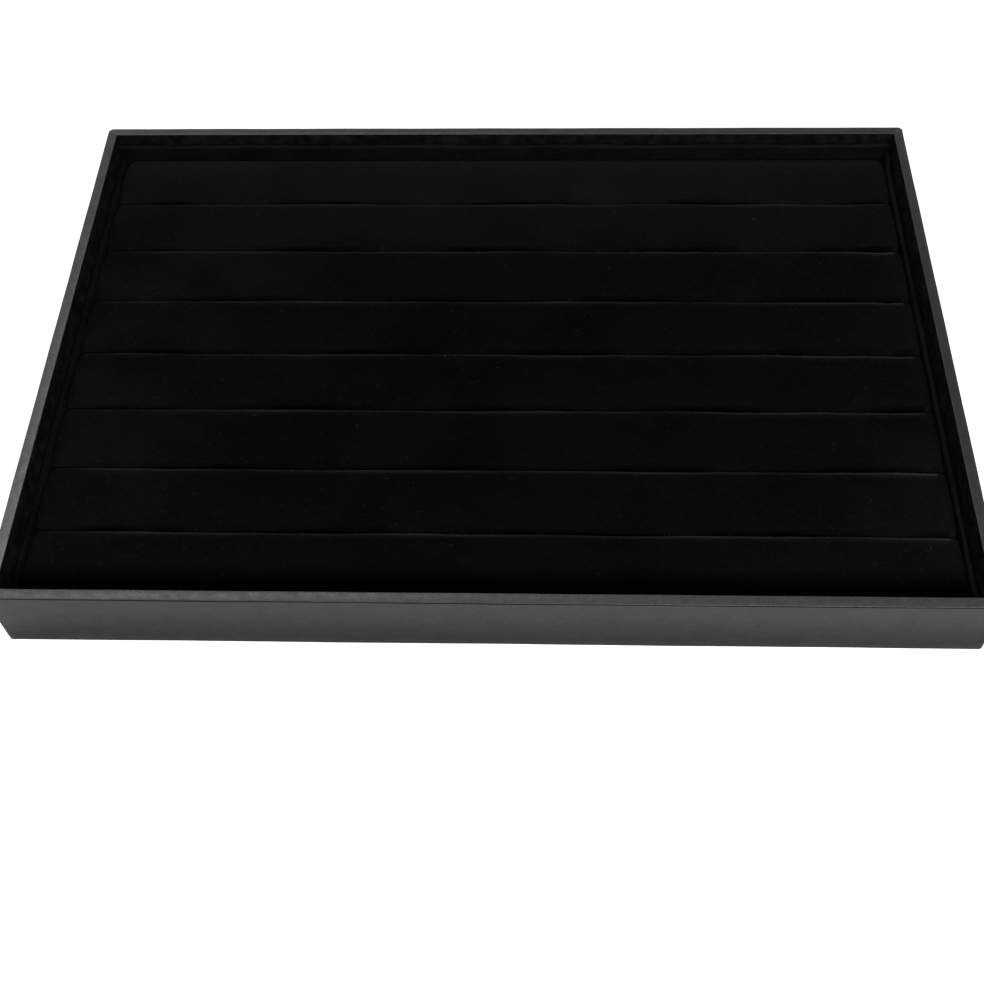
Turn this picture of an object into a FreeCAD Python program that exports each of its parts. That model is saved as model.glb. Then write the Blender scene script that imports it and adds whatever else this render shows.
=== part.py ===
import FreeCAD, Part
import os
import Sketcher

# Jewelry tray: a mitred frame wrapped in leatherette, lined with velvet, holding a lift-out ring pad.
# Millimetres, +Z up, origin at the middle of the underside, X along the long side, front at -Y.

# Driving sizes

SIZES = {
    "tray_length": 350.0,
    "tray_width": 240.0,
    "tray_height": 30.0,
    "corner_ease": 0.85,
    "rail_thickness": 3.2,
    "leather_thickness": 0.4,
    "rim_round": 0.35,
    "rim_round_limit_share": 0.9,
    "rim_seam": 0.3,
    "rim_turn_in": 14.0,
    "wrap_seam": 0.3,
    "base_thickness": 2.5,
    "base_cover_thickness": 0.3,
    "base_cover_inset": 2.0,
    "base_cover_corner": 3.0,
    "floor_thickness": 0.5,
    "liner_card_thickness": 1.2,
    "liner_velvet": 0.8,
    "liner_card_ease": 0.4,
    "long_liner_drop": 5.0,
    "side_liner_drop": 10.5,
    "pad_drop": 10.5,
    "pad_clearance": 0.7,
    "insert_board_thickness": 2.0,
    "cover_velvet": 0.8,
    "cover_turn_under": 10.0,
    "strip_count": 8,
    "slit_gap": 0.5,
    "strip_crown": 0.6,
    "foam_shoulder": 0.4,
    "foam_edge_round": 2.7,
    "foam_corner_ease": 0.5,
    "overrun": 2.0,
}

# Sizes worked out from the driving ones, in the order in which they build on each other

FITS = {
    "half_length": "Sizes.tray_length / 2",
    "half_width": "Sizes.tray_width / 2",
    "wall": "Sizes.rail_thickness + 2 * Sizes.leather_thickness",
    "mitre_reach": "wall + Sizes.overrun",
    "corner_radius": "Sizes.rim_round + Sizes.corner_ease",
    "core_corner_radius": "Sizes.rim_round + Sizes.corner_ease - Sizes.leather_thickness",
    "core_length": "Sizes.tray_length - 2 * Sizes.leather_thickness",
    "core_width": "Sizes.tray_width - 2 * Sizes.leather_thickness",
    "void_length": "core_length - 2 * Sizes.rail_thickness",
    "void_width": "core_width - 2 * Sizes.rail_thickness",
    "inner_length": "Sizes.tray_length - 2 * wall",
    "inner_width": "Sizes.tray_width - 2 * wall",
    "rail_bottom": "Sizes.base_cover_thickness + Sizes.leather_thickness",
    "rail_top": "Sizes.tray_height - Sizes.leather_thickness",
    "rim_edge_round": "min(Sizes.rim_round; Sizes.rim_round_limit_share * Sizes.leather_thickness)",
    "rim_turn_in_bottom": "Sizes.tray_height - Sizes.rim_turn_in",
    "outer_wrap_top": "rail_top - Sizes.rim_seam",
    "base_top": "Sizes.base_cover_thickness + Sizes.base_thickness",
    "floor_top": "base_top + Sizes.floor_thickness",
    "liner_thickness": "Sizes.liner_card_thickness + 2 * Sizes.liner_velvet",
    "liner_fold_round": "Sizes.liner_card_ease + Sizes.liner_velvet",
    "long_liner_top": "Sizes.tray_height - Sizes.long_liner_drop",
    "side_liner_top": "Sizes.tray_height - Sizes.side_liner_drop",
    "long_liner_y": "(inner_width - liner_thickness) / 2",
    "side_liner_x": "(inner_length - liner_thickness) / 2",
    "side_liner_length": "inner_width - 2 * liner_thickness",
    "pad_length": "inner_length - 2 * (liner_thickness + Sizes.pad_clearance)",
    "pad_width": "inner_width - 2 * (liner_thickness + Sizes.pad_clearance)",
    "pad_top": "Sizes.tray_height - Sizes.pad_drop",
    "board_bottom": "floor_top + Sizes.cover_velvet",
    "board_top": "board_bottom + Sizes.insert_board_thickness",
    "slit_bottom": "board_top + Sizes.cover_velvet",
    "foam_top": "pad_top - Sizes.cover_velvet",
    "foam_length": "pad_length - 2 * Sizes.cover_velvet",
    "foam_width": "pad_width - 2 * Sizes.cover_velvet",
    "foam_corner": "Sizes.foam_edge_round + Sizes.foam_corner_ease",
    "cover_corner": "foam_corner + Sizes.cover_velvet",
    "cover_edge_round": "Sizes.foam_edge_round + Sizes.cover_velvet",
    "cover_shoulder": "Sizes.foam_shoulder + Sizes.cover_velvet",
    "strip_pitch": "(pad_width + Sizes.slit_gap) / Sizes.strip_count",
    "cover_half_strip": "(strip_pitch - Sizes.slit_gap) / 2",
    "foam_half_strip": "cover_half_strip - Sizes.cover_velvet",
    "cover_crown_radius": "(cover_half_strip ^ 2 + Sizes.strip_crown ^ 2) / (2 * Sizes.strip_crown)",
    "foam_crown_radius": "cover_crown_radius - Sizes.cover_velvet",
}

UP = FreeCAD.Vector(0, 0, 1)
ALONG = FreeCAD.Vector(1, 0, 0)

document = FreeCAD.newDocument("jewelry_tray")


# Helpers

def fill_sheet(name, cells):
    """Put one named cell in each row of a new sheet and give it back."""
    sheet = document.addObject("Spreadsheet::Sheet", name)
    for row, (alias, content) in enumerate(cells.items(), start=1):
        sheet.set(f"A{row}", alias)
        sheet.set(f"B{row}", content)
        sheet.setAlias(f"B{row}", alias)
    document.recompute()
    return sheet


def bind(item, **formulas):
    """Bind properties of an object to formulas; a double underscore stands for the dot in a path."""
    for path, formula in formulas.items():
        item.setExpression(path.replace("__", "."), formula)


def plane(body, role):
    """One of the body's own origin planes."""
    return next(feature for feature in body.Origin.OriginFeatures if feature.Role == role)


def new_sketch(body, role, offset):
    """An empty sketch on an origin plane of its body, set off along the plane's normal."""
    sketch = body.newObject("Sketcher::SketchObject", f"{body.Name}_sketch")
    sketch.AttachmentSupport = (plane(body, role), [""])
    sketch.MapMode = "FlatFace"
    bind(sketch, AttachmentOffset__Base__z=offset)
    return sketch


def place_point(sketch, line, end, across, up):
    """Hold one end of a sketch line at a place given by two formulas."""
    for direction, formula in (("DistanceX", across), ("DistanceY", up)):
        index = sketch.addConstraint(Sketcher.Constraint(direction, -1, 1, line, end, 0.0))
        sketch.setExpression(f"Constraints[{index}]", formula)


def draw_rectangle(sketch, length, width):
    """A rectangle about the sketch's origin."""
    half_shares = ((-0.5, -0.5), (0.5, -0.5), (0.5, 0.5), (-0.5, 0.5))
    first = sketch.GeometryCount
    points = [FreeCAD.Vector(x, y, 0) for x, y in half_shares]
    for start, end in zip(points, points[1:] + points[:1]):
        sketch.addGeometry(Part.LineSegment(start, end), False)
    for corner, (x_share, y_share) in enumerate(half_shares):
        before = first + (corner - 1) % len(half_shares)
        sketch.addConstraint(Sketcher.Constraint("Coincident", before, 2, first + corner, 1))
        place_point(sketch, first + corner, 1, f"{x_share} * {length}", f"{y_share} * {width}")


def pad(body, sketch, height):
    """Raise a sketch into a solid along its normal."""
    feature = body.newObject("PartDesign::Pad", f"{body.Name}_pad")
    feature.Profile = sketch
    bind(feature, Length=height)
    document.recompute()


def round_edges(body, wanted, radius):
    """Fillet the edges of the body's tip that the test picks."""
    tip = body.Tip
    names = [f"Edge{n}" for n, edge in enumerate(tip.Shape.Edges, start=1) if wanted(edge)]
    if not names:
        raise RuntimeError(f"{body.Label}: no edge to round")
    feature = body.newObject("PartDesign::Fillet", f"{body.Name}_fillet")
    feature.Base = (tip, names)
    bind(feature, Radius=radius)
    document.recompute()


def is_upright(edge):
    """Whether a straight edge runs along Z."""
    return isinstance(edge.Curve, Part.Line) and abs(edge.Curve.Direction.dot(UP)) == 1


def is_lengthwise(edge):
    """Whether a straight edge runs along X."""
    return isinstance(edge.Curve, Part.Line) and abs(edge.Curve.Direction.dot(ALONG)) == 1


def upper_lengthwise(shape):
    """A test for the edges along X in the upper half of a shape."""
    middle = (shape.BoundBox.ZMin + shape.BoundBox.ZMax) / 2
    return lambda edge: is_lengthwise(edge) and edge.BoundBox.ZMin > middle


def crest_edges(shape):
    """A test for the edges round the highest face of a shape."""
    crest = shape.BoundBox.ZMax
    return lambda edge: edge.BoundBox.ZMin == crest


def foot_edges(shape):
    """A test for the edges round the lowest face of a shape."""
    foot = shape.BoundBox.ZMin
    return lambda edge: edge.BoundBox.ZMax == foot


def block(label, length, width, low, high, corner=None):
    """A rectangular block about the Z axis between two heights, with eased upright corners."""
    body = document.addObject("PartDesign::Body", label)
    sketch = new_sketch(body, "XY_Plane", low)
    draw_rectangle(sketch, length, width)
    pad(body, sketch, f"{high} - {low}")
    if corner:
        round_edges(body, is_upright, corner)
    return body


def join(kind, label, first, second):
    """A boolean of two shapes."""
    item = document.addObject(kind, label)
    item.Base = first
    item.Tool = second
    document.recompute()
    return item


def fuse(label, shapes):
    """All the shapes as one."""
    item = document.addObject("Part::MultiFuse", label)
    item.Shapes = shapes
    document.recompute()
    return item


# Wall sides, with the turn that brings the front one to each of them

SIDE_TURNS = {"front": 0, "right": 90, "back": 180, "left": 270}
LONG_SIDES = ("front", "back")


def mitre_wedge(side):
    """The space of one wall, cut off at 45 degrees towards its neighbours."""
    along, outward = ("half_length", "half_width")
    if side not in LONG_SIDES:
        along, outward = outward, along
    wedge = document.addObject("Part::Wedge", f"{side}_mitre_wedge")
    bind(
        wedge,
        Ymin=f"-Fits.{outward} - Sizes.overrun",
        Ymax=f"-Fits.{outward} + Fits.mitre_reach",
        Xmin=f"-Fits.{along} - Sizes.overrun",
        Xmax=f"Fits.{along} + Sizes.overrun",
        X2min=f"-Fits.{along} + Fits.mitre_reach",
        X2max=f"Fits.{along} - Fits.mitre_reach",
        Zmin="-Sizes.overrun",
        Zmax="Sizes.tray_height + Sizes.overrun",
        Z2min="-Sizes.overrun",
        Z2max="Sizes.tray_height + Sizes.overrun",
    )
    wedge.Placement = FreeCAD.Placement(FreeCAD.Vector(), FreeCAD.Rotation(UP, SIDE_TURNS[side]))
    document.recompute()
    return wedge


# Frame: rails, leatherette and base

def build_frame():
    """Mitred rails, the band round them, the strips over the rim, and the base."""
    core = block(
        "core_block", "Fits.core_length", "Fits.core_width", "Fits.rail_bottom", "Fits.rail_top",
        "Fits.core_corner_radius",
    )
    void = block(
        "core_void", "Fits.void_length", "Fits.void_width", "-Sizes.overrun",
        "Sizes.tray_height + Sizes.overrun",
    )
    rail_ring = join("Part::Cut", "rail_ring", core, void)
    rim_ring = build_rim_ring(rail_ring)
    wedges = {side: mitre_wedge(side) for side in SIDE_TURNS}
    rails = [join("Part::Common", f"{side}_rail", rail_ring, wedges[side]) for side in SIDE_TURNS]
    rims = [join("Part::Common", f"{side}_rim_wrap", rim_ring, wedges[side]) for side in SIDE_TURNS]
    return rails + rims + [build_outer_wrap(core, void)] + build_base()


def build_rim_ring(rail_ring):
    """Leatherette over the rim: a rounded strip, flush with the band outside, and a long turn-in inside."""
    body = block(
        "rim_block", "Sizes.tray_length", "Sizes.tray_width", "Fits.rail_top",
        "Sizes.tray_height", "Fits.corner_radius",
    )
    turn_in = new_sketch(body, "XY_Plane", "Fits.rim_turn_in_bottom")
    draw_rectangle(turn_in, "Fits.void_length", "Fits.void_width")
    pad(body, turn_in, "Sizes.rim_turn_in")
    opening = new_sketch(body, "XY_Plane", "Fits.rim_turn_in_bottom - Sizes.overrun")
    draw_rectangle(opening, "Fits.inner_length", "Fits.inner_width")
    pocket = body.newObject("PartDesign::Pocket", "rim_opening")
    pocket.Profile = opening
    pocket.Reversed = True
    bind(pocket, Length="Sizes.rim_turn_in + 2 * Sizes.overrun")
    document.recompute()
    round_edges(body, crest_edges(body.Shape), "Fits.rim_edge_round")
    return join("Part::Cut", "rim_ring", body, rail_ring)


def build_outer_wrap(core, void):
    """Leatherette band round the walls, folded under the rails, with one butt seam at the back."""
    body = block(
        "wrap_block", "Sizes.tray_length", "Sizes.tray_width", "Sizes.base_cover_thickness",
        "Fits.outer_wrap_top", "Fits.corner_radius",
    )
    round_edges(body, foot_edges(body.Shape), "Sizes.leather_thickness")
    seam = document.addObject("Part::Box", "wrap_seam_cut")
    bind(
        seam,
        Length="Sizes.wrap_seam",
        Width="Fits.wall + Sizes.overrun",
        Height="Sizes.tray_height",
        Placement__Base__x="-Sizes.wrap_seam / 2",
        Placement__Base__y="Fits.half_width - Fits.wall",
    )
    cuts = fuse("wrap_cuts", [core, void, seam])
    return join("Part::Cut", "outer_wrap", body, cuts)


def build_base():
    """Board between the rails, lining on it and cover sheet below it."""
    return [
        block(
            "base_board", "Fits.void_length", "Fits.void_width", "Sizes.base_cover_thickness",
            "Fits.base_top",
        ),
        block("floor_lining", "Fits.void_length", "Fits.void_width", "Fits.base_top", "Fits.floor_top"),
        block(
            "base_cover",
            "(Sizes.tray_length - 2 * Sizes.base_cover_inset)",
            "(Sizes.tray_width - 2 * Sizes.base_cover_inset)",
            "0", "Sizes.base_cover_thickness", "Sizes.base_cover_corner",
        ),
    ]


# Liners: velvet folded over cards that stand round the inside

def build_liner(side):
    """One card and the velvet over it; the long ones reach the walls, the short ones stand between."""
    if side in LONG_SIDES:
        length, top, offset = "Fits.inner_length", "Fits.long_liner_top", "Fits.long_liner_y"
    else:
        length, top, offset = "Fits.side_liner_length", "Fits.side_liner_top", "Fits.side_liner_x"
    fold = block(f"{side}_liner_fold", length, "Fits.liner_thickness", "Fits.floor_top", top)
    round_edges(fold, upper_lengthwise(fold.Shape), "Fits.liner_fold_round")
    card = block(
        f"{side}_liner_card", length, "Sizes.liner_card_thickness", "Fits.floor_top",
        f"({top} - Sizes.liner_velvet)",
    )
    round_edges(card, upper_lengthwise(card.Shape), "Sizes.liner_card_ease")
    turn = FreeCAD.Rotation(UP, SIDE_TURNS[side])
    outward = turn.multVec(FreeCAD.Vector(0, -1, 0))
    for piece in (fold, card):
        piece.Placement = FreeCAD.Placement(FreeCAD.Vector(), turn)
        bind(
            piece,
            Placement__Base__x=f"{round(outward.x)} * {offset}",
            Placement__Base__y=f"{round(outward.y)} * {offset}",
        )
    document.recompute()
    return [card, join("Part::Cut", f"{side}_liner_velvet", fold, card)]


# Ring pad: foam strips on a board under one velvet sheet that is tucked into the slits

SHOULDERS = {"cover": "Fits.cover_shoulder", "foam": "Sizes.foam_shoulder"}


def crowned_strip(label, number, layer, low, top):
    """A long strip with an arched top and rounded shoulders, at its place in the row."""
    body = document.addObject("PartDesign::Body", label)
    sketch = new_sketch(body, "YZ_Plane", "-0.5 * Sizes.tray_length")
    draw_strip_section(sketch, layer, low, top)
    pad(body, sketch, "Sizes.tray_length")
    round_edges(body, upper_lengthwise(body.Shape), SHOULDERS[layer])
    bind(body, Placement__Base__y=f"({number} - (Sizes.strip_count + 1) / 2) * Fits.strip_pitch")
    document.recompute()
    return body


def draw_strip_section(sketch, layer, low, top):
    """Flat foot, upright sides and one arc over the top, about the sketch's upright axis."""
    half = fits.get(f"{layer}_half_strip")
    radius = fits.get(f"{layer}_crown_radius")
    crest = fits.get(top)
    foot = fits.get(low)
    eaves = crest - radius + (radius ** 2 - half ** 2) ** 0.5
    corners = [(-half, eaves), (-half, foot), (half, foot), (half, eaves)]
    points = [FreeCAD.Vector(y, z, 0) for y, z in corners]
    for start, end in zip(points, points[1:]):
        sketch.addGeometry(Part.LineSegment(start, end), False)
    arch = sketch.addGeometry(Part.Arc(points[-1], FreeCAD.Vector(0, crest, 0), points[0]), False)
    sketch.addConstraint(Sketcher.Constraint("Coincident", 0, 2, 1, 1))
    sketch.addConstraint(Sketcher.Constraint("Coincident", 1, 2, 2, 1))
    sketch.addConstraint(Sketcher.Constraint("Coincident", 2, 2, arch, 1))
    sketch.addConstraint(Sketcher.Constraint("Coincident", arch, 2, 0, 1))
    sketch.addConstraint(Sketcher.Constraint("Vertical", 0))
    sketch.addConstraint(Sketcher.Constraint("Vertical", 2))
    place_point(sketch, 1, 1, f"-Fits.{layer}_half_strip", f"Fits.{low}")
    place_point(sketch, 1, 2, f"Fits.{layer}_half_strip", f"Fits.{low}")
    place_point(sketch, arch, 3, "0", f"Fits.{top} - Fits.{layer}_crown_radius")
    index = sketch.addConstraint(Sketcher.Constraint("Radius", arch, radius))
    sketch.setExpression(f"Constraints[{index}]", f"Fits.{layer}_crown_radius")


def strip_row(layer, label, envelope, low, top):
    """Every strip of one layer, trimmed to the rounded outside of that layer."""
    row = []
    for number in range(1, int(sizes.get("strip_count")) + 1):
        strip = crowned_strip(f"{layer}_crowned_{number}", number, layer, low, top)
        row.append(join("Part::Common", f"{label}_{number}", strip, envelope))
    return row


def build_pad():
    """Board, foam strips and the velvet sheet over them."""
    foam_outside = block(
        "foam_outside", "Fits.foam_length", "Fits.foam_width", "Fits.board_top", "Fits.foam_top",
        "Fits.foam_corner",
    )
    cover_outside = block(
        "cover_outside", "Fits.pad_length", "Fits.pad_width", "Fits.floor_top", "Fits.pad_top",
        "Fits.cover_corner",
    )
    round_edges(foam_outside, crest_edges(foam_outside.Shape), "Sizes.foam_edge_round")
    round_edges(cover_outside, crest_edges(cover_outside.Shape), "Fits.cover_edge_round")
    board = block(
        "insert_board", "Fits.foam_length", "Fits.foam_width", "Fits.board_bottom", "Fits.board_top",
        "Fits.foam_corner",
    )
    foam = strip_row("foam", "foam_strip", foam_outside, "board_top", "foam_top")
    folds = strip_row("cover", "cover_strip", cover_outside, "floor_top", "pad_top")
    skirt = block(
        "cover_skirt", "Fits.pad_length", "Fits.pad_width", "Fits.floor_top", "Fits.slit_bottom",
        "Fits.cover_corner",
    )
    underside = block(
        "cover_underside_opening",
        "(Fits.foam_length - 2 * Sizes.cover_turn_under)",
        "(Fits.foam_width - 2 * Sizes.cover_turn_under)",
        "(Fits.floor_top - Sizes.overrun)", "Fits.board_top",
    )
    sheet_outside = fuse("cover_sheet_outside", folds + [skirt])
    filling = fuse("cover_filling", foam + [board, underside])
    cover = join("Part::Cut", "velvet_cover", sheet_outside, filling)
    return [board, cover] + foam


# Build, check and write

def check(items):
    """Stop if any object failed, or any piece is empty, broken or not one solid."""
    for item in document.Objects:
        if "Invalid" in item.State or "Error" in item.State:
            raise RuntimeError(f"{item.Label}: {item.State}")
    for item in items:
        if item.Shape.isNull() or not item.Shape.isValid():
            raise RuntimeError(f"{item.Label}: empty or broken shape")
        if len(item.Shape.Solids) != 1:
            raise RuntimeError(f"{item.Label}: {len(item.Shape.Solids)} solids")


def write(items):
    """One file for each piece, named by its label."""
    os.makedirs("parts", exist_ok=True)
    for item in items:
        item.Shape.exportStep(f"parts/{item.Label}.step")
        print(f"{item.Label}: {item.Shape.Volume:.1f} mm3")


sizes = fill_sheet("Sizes", {alias: str(value) for alias, value in SIZES.items()})
fits = fill_sheet("Fits", {alias: f"={formula}" for alias, formula in FITS.items()})

pieces = build_frame()
for wall_side in SIDE_TURNS:
    pieces += build_liner(wall_side)
pieces += build_pad()
document.recompute()
check(pieces)
write(pieces)
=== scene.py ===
"""Looks of a jewelry tray: leatherette walls, velvet liners and a lift-out velvet ring pad."""
import logging
import math
from dataclasses import dataclass, field
from enum import Enum

import bmesh
import bpy
import numpy as np
from mathutils import Matrix, Vector


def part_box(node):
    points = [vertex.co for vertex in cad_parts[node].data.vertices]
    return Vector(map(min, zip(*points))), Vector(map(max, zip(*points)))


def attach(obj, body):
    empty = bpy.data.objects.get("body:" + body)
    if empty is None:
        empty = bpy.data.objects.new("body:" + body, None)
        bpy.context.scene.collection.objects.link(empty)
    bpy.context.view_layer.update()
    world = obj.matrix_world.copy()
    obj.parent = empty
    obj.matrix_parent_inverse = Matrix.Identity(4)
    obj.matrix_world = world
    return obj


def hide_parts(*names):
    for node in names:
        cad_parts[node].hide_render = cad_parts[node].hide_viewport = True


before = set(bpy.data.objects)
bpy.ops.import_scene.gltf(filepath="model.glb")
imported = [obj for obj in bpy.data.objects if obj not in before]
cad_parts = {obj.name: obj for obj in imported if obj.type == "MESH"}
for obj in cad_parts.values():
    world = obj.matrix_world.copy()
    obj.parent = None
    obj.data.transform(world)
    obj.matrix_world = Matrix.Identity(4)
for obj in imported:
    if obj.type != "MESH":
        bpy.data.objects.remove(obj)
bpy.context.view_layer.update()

Piece = bpy.types.Object
Material = bpy.types.Material
Socket = bpy.types.NodeSocket
Sockets = bpy.types.NodeOutputs
Face = tuple[int, ...]
Span = tuple[float, float]
Place = tuple[float, float, float]
Colour = tuple[float, float, float]

LOG = logging.getLogger("jewelry_tray")
TRAY = "tray"
RING_PAD = "ring_pad"
# Name of the vertex attribute that holds painted highlights and painted shade.
PAINTED_LIGHT = "painted_light"
SMOOTH_ANGLE = math.radians(38)
MERGE_DISTANCE = 1e-6
WHITE: Colour = (1.0, 1.0, 1.0)


# Numbers along a line

@dataclass(frozen=True)
class Ripple:
    """Seeded unevenness along a line, as a few sine waves."""

    seed: int
    height: float
    lengths: tuple[float, ...]

    def at(self, places: np.ndarray, number: int = 0) -> np.ndarray:
        """Height of the unevenness at places along a line.

        Args:
            places: distances along the line, in metres.
            number: which of several like lines it is, each with a draw of its own.

        Returns:
            One height for each place, within plus and minus the ripple's height.
        """
        draw = np.random.default_rng(self.seed + number)
        total = np.zeros_like(places)
        for length in self.lengths:
            total += length * np.sin(2 * math.pi * (places / length + draw.random()))
        return self.height * total / sum(self.lengths)


def arc(centre: Span, radius: float, start: float, end: float, steps: int) -> np.ndarray:
    """Points of a circular arc in a plane, in chords from one angle to another, in degrees."""
    turns = np.radians(np.linspace(start, end, steps + 1))
    return np.column_stack((centre[0] + radius * np.cos(turns), centre[1] + radius * np.sin(turns)))


def upright(across: float, heights: np.ndarray) -> np.ndarray:
    """Points of a section that stand over one another."""
    return np.column_stack((np.full(len(heights), across), heights))


def round_rise(places: np.ndarray, half: float, radius: float) -> np.ndarray:
    """Height of a rounded edge above the foot of its rounding, at places out from the middle."""
    over = np.clip(np.abs(places) - (half - radius), 0, radius)
    return np.sqrt(np.maximum(radius ** 2 - over ** 2, 0))


def outward_normals(section: np.ndarray) -> np.ndarray:
    """Unit normals of a section that is walked with its outside on the left.

    Args:
        section: points of the section, one row each.

    Returns:
        One normal for each point.
    """
    along = np.gradient(section, axis=0)
    across = np.column_stack((-along[:, 1], along[:, 0]))
    return across / np.linalg.norm(across, axis=1, keepdims=True)


def smooth_step(values: np.ndarray) -> np.ndarray:
    """An ease from 0 to 1 over values from 0 to 1."""
    held = np.clip(values, 0, 1)
    return held * held * (3 - 2 * held)


# Meshes

def make_piece(name: str, points: np.ndarray, faces: list[Face], edges: tuple[Face, ...] = ()) -> Piece:
    """Make a mesh object at the origin.

    Args:
        name: name of the piece.
        points: places of the vertices, in metres.
        faces: vertex numbers of each face.
        edges: vertex numbers of each edge that has no face.

    Returns:
        The new object, linked to the scene.
    """
    mesh = bpy.data.meshes.new(name)
    mesh.from_pydata(points.reshape(-1, 3).tolist(), edges, faces)
    mesh.update()
    piece = bpy.data.objects.new(name, mesh)
    bpy.context.scene.collection.objects.link(piece)
    return piece


def make_lines(name: str, lines: list[np.ndarray]) -> Piece:
    """Make an object of bare lines.

    Args:
        name: name of the object.
        lines: points of each line, one row each.

    Returns:
        The new object, linked to the scene.
    """
    edges: list[Face] = []
    first = 0
    for line in lines:
        edges += [(first + number, first + number + 1) for number in range(len(line) - 1)]
        first += len(line)
    return make_piece(name, np.vstack(lines), [], tuple(edges))


def tube_faces(rows: int, columns: int) -> list[Face]:
    """Faces of a closed section swept along columns, with both ends capped.

    Args:
        rows: points of the closed section.
        columns: places along the sweep.

    Returns:
        Vertex numbers of each face, for vertices kept row by row.
    """
    faces: list[Face] = []
    for row in range(rows):
        here, after = row * columns, (row + 1) % rows * columns
        for column in range(columns - 1):
            faces.append((here + column, here + column + 1, after + column + 1, after + column))
    faces.append(tuple(row * columns for row in range(rows)))
    faces.append(tuple(row * columns + columns - 1 for row in reversed(range(rows))))
    return faces


def tidy_mesh(piece: Piece, closed: bool = True) -> None:
    """Merge doubles, turn the faces outwards and shade a mesh smooth.

    Args:
        piece: the piece to tidy.
        closed: whether the mesh is a closed shell, whose outside can be found.
    """
    shell = bmesh.new()
    shell.from_mesh(piece.data)
    bmesh.ops.remove_doubles(shell, verts=shell.verts, dist=MERGE_DISTANCE)
    if closed:
        bmesh.ops.recalc_face_normals(shell, faces=shell.faces)
    shell.to_mesh(piece.data)
    shell.free()
    piece.data.shade_smooth()
    piece.data.set_sharp_from_angle(angle=SMOOTH_ANGLE)


def paint_light(piece: Piece, values: np.ndarray) -> None:
    """Store each vertex's painted light: a painted highlight, up to 1, or painted shade, down to -1."""
    layer = piece.data.attributes.new(PAINTED_LIGHT, "FLOAT", "POINT")
    layer.data.foreach_set("value", values.astype(np.float32).ravel())


def settle(piece: Piece) -> None:
    """Turn a piece's modifiers into plain mesh.

    Args:
        piece: the piece, which keeps its name and loses its modifiers.
    """
    graph = bpy.context.evaluated_depsgraph_get()
    graph.update()
    shaped = bpy.data.meshes.new_from_object(
        piece.evaluated_get(graph), preserve_all_data_layers=True, depsgraph=graph
    )
    first = piece.data
    piece.modifiers.clear()
    piece.data = shaped
    bpy.data.meshes.remove(first)
    shaped.name = piece.name


def give_finish(piece: Piece, material: Material) -> None:
    """Give a piece one material, in place of any that it has."""
    piece.data.materials.clear()
    piece.data.materials.append(material)


def hand_in(piece: Piece, body: str, node: str = "") -> None:
    """Say what a piece moves with and stands for, and log it.

    Args:
        piece: the finished piece.
        body: body that it moves with.
        node: CAD node that it takes the place of, if there is one.
    """
    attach(piece, body)
    if node:
        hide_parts(node)
    LOG.info("%s: %d faces", piece.name, len(piece.data.polygons))


# Shader and geometry trees

class Board:
    """A node tree that is being wired."""

    def __init__(self, tree: bpy.types.NodeTree) -> None:
        """Start on a tree."""
        self.tree = tree

    def fill(self, socket: Socket, value: object) -> None:
        """Link a socket to another, or set its value.

        Args:
            socket: the input to fill.
            value: a socket, a number, a vector or a colour without its alpha.
        """
        if isinstance(value, bpy.types.NodeSocket):
            self.tree.links.new(value, socket)
        else:
            socket.default_value = (*value, 1.0) if socket.type == "RGBA" else value

    def add(self, kind: str, inputs: dict | None = None, **settings: object) -> bpy.types.Node:
        """Add a node, set its options and fill its inputs.

        Args:
            kind: Blender's name of the node type.
            inputs: values or sockets, by the input's name or number.
            settings: options of the node itself.

        Returns:
            The new node.
        """
        node = self.tree.nodes.new(kind)
        for name, value in settings.items():
            setattr(node, name, value)
        for name, value in (inputs or {}).items():
            self.fill(node.inputs[name], value)
        return node

    def take(self, kind: str, inputs: dict | None = None, output: int | str = 0,
             **settings: object) -> Socket:
        """Add a node and take one of its outputs, by name or number."""
        return self.add(kind, inputs, **settings).outputs[output]

    def math(self, operation: str, *values: object) -> Socket:
        """Result of one arithmetic step on values or sockets."""
        return self.take("ShaderNodeMath", dict(enumerate(values)), operation=operation)

    def vector(self, operation: str, *values: object, output: int | str = 0) -> Socket:
        """Result of one step on vectors."""
        return self.take("ShaderNodeVectorMath", dict(enumerate(values)), output, operation=operation)

    def ramp(self, value: object, span: tuple[object, object],
             out: tuple[object, object] = (0.0, 1.0)) -> Socket:
        """Map a value smoothly from one span to another, held at its ends."""
        inputs = dict(enumerate((value, *span, *out)))
        return self.take("ShaderNodeMapRange", inputs, interpolation_type="SMOOTHSTEP")

    def blend(self, share: object, first: object, second: object) -> Socket:
        """Mix of two colours, from the first at a share of 0 to the second at 1."""
        return self.take("ShaderNodeMix", {0: share, 6: first, 7: second}, 2, data_type="RGBA")

    def noise(self, vector: object, size: object, detail: float, roughness: float = 0.5) -> Socket:
        """Cloudy noise with patches of about one size.

        Args:
            vector: place on the surface.
            size: size of a patch, in metres.
            detail: number of finer layers.
            roughness: share of the finer layers.

        Returns:
            The noise, from 0 to 1.
        """
        scale = self.math("DIVIDE", 1.0, size)
        inputs = {"Vector": vector, "Scale": scale, "Detail": detail, "Roughness": roughness}
        return self.take("ShaderNodeTexNoise", inputs)


def add_sockets(tree: bpy.types.NodeTree, in_out: str, kinds: dict[str, str]) -> None:
    """Add inputs or outputs of some kinds to a node group, by their names."""
    for title, kind in kinds.items():
        tree.interface.new_socket(title, in_out=in_out, socket_type=f"NodeSocket{kind}")


def spaced(values: dict[str, object]) -> dict[str, object]:
    """Values by the names of sockets, with a blank for each underscore."""
    return {title.replace("_", " "): value for title, value in values.items()}


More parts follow.
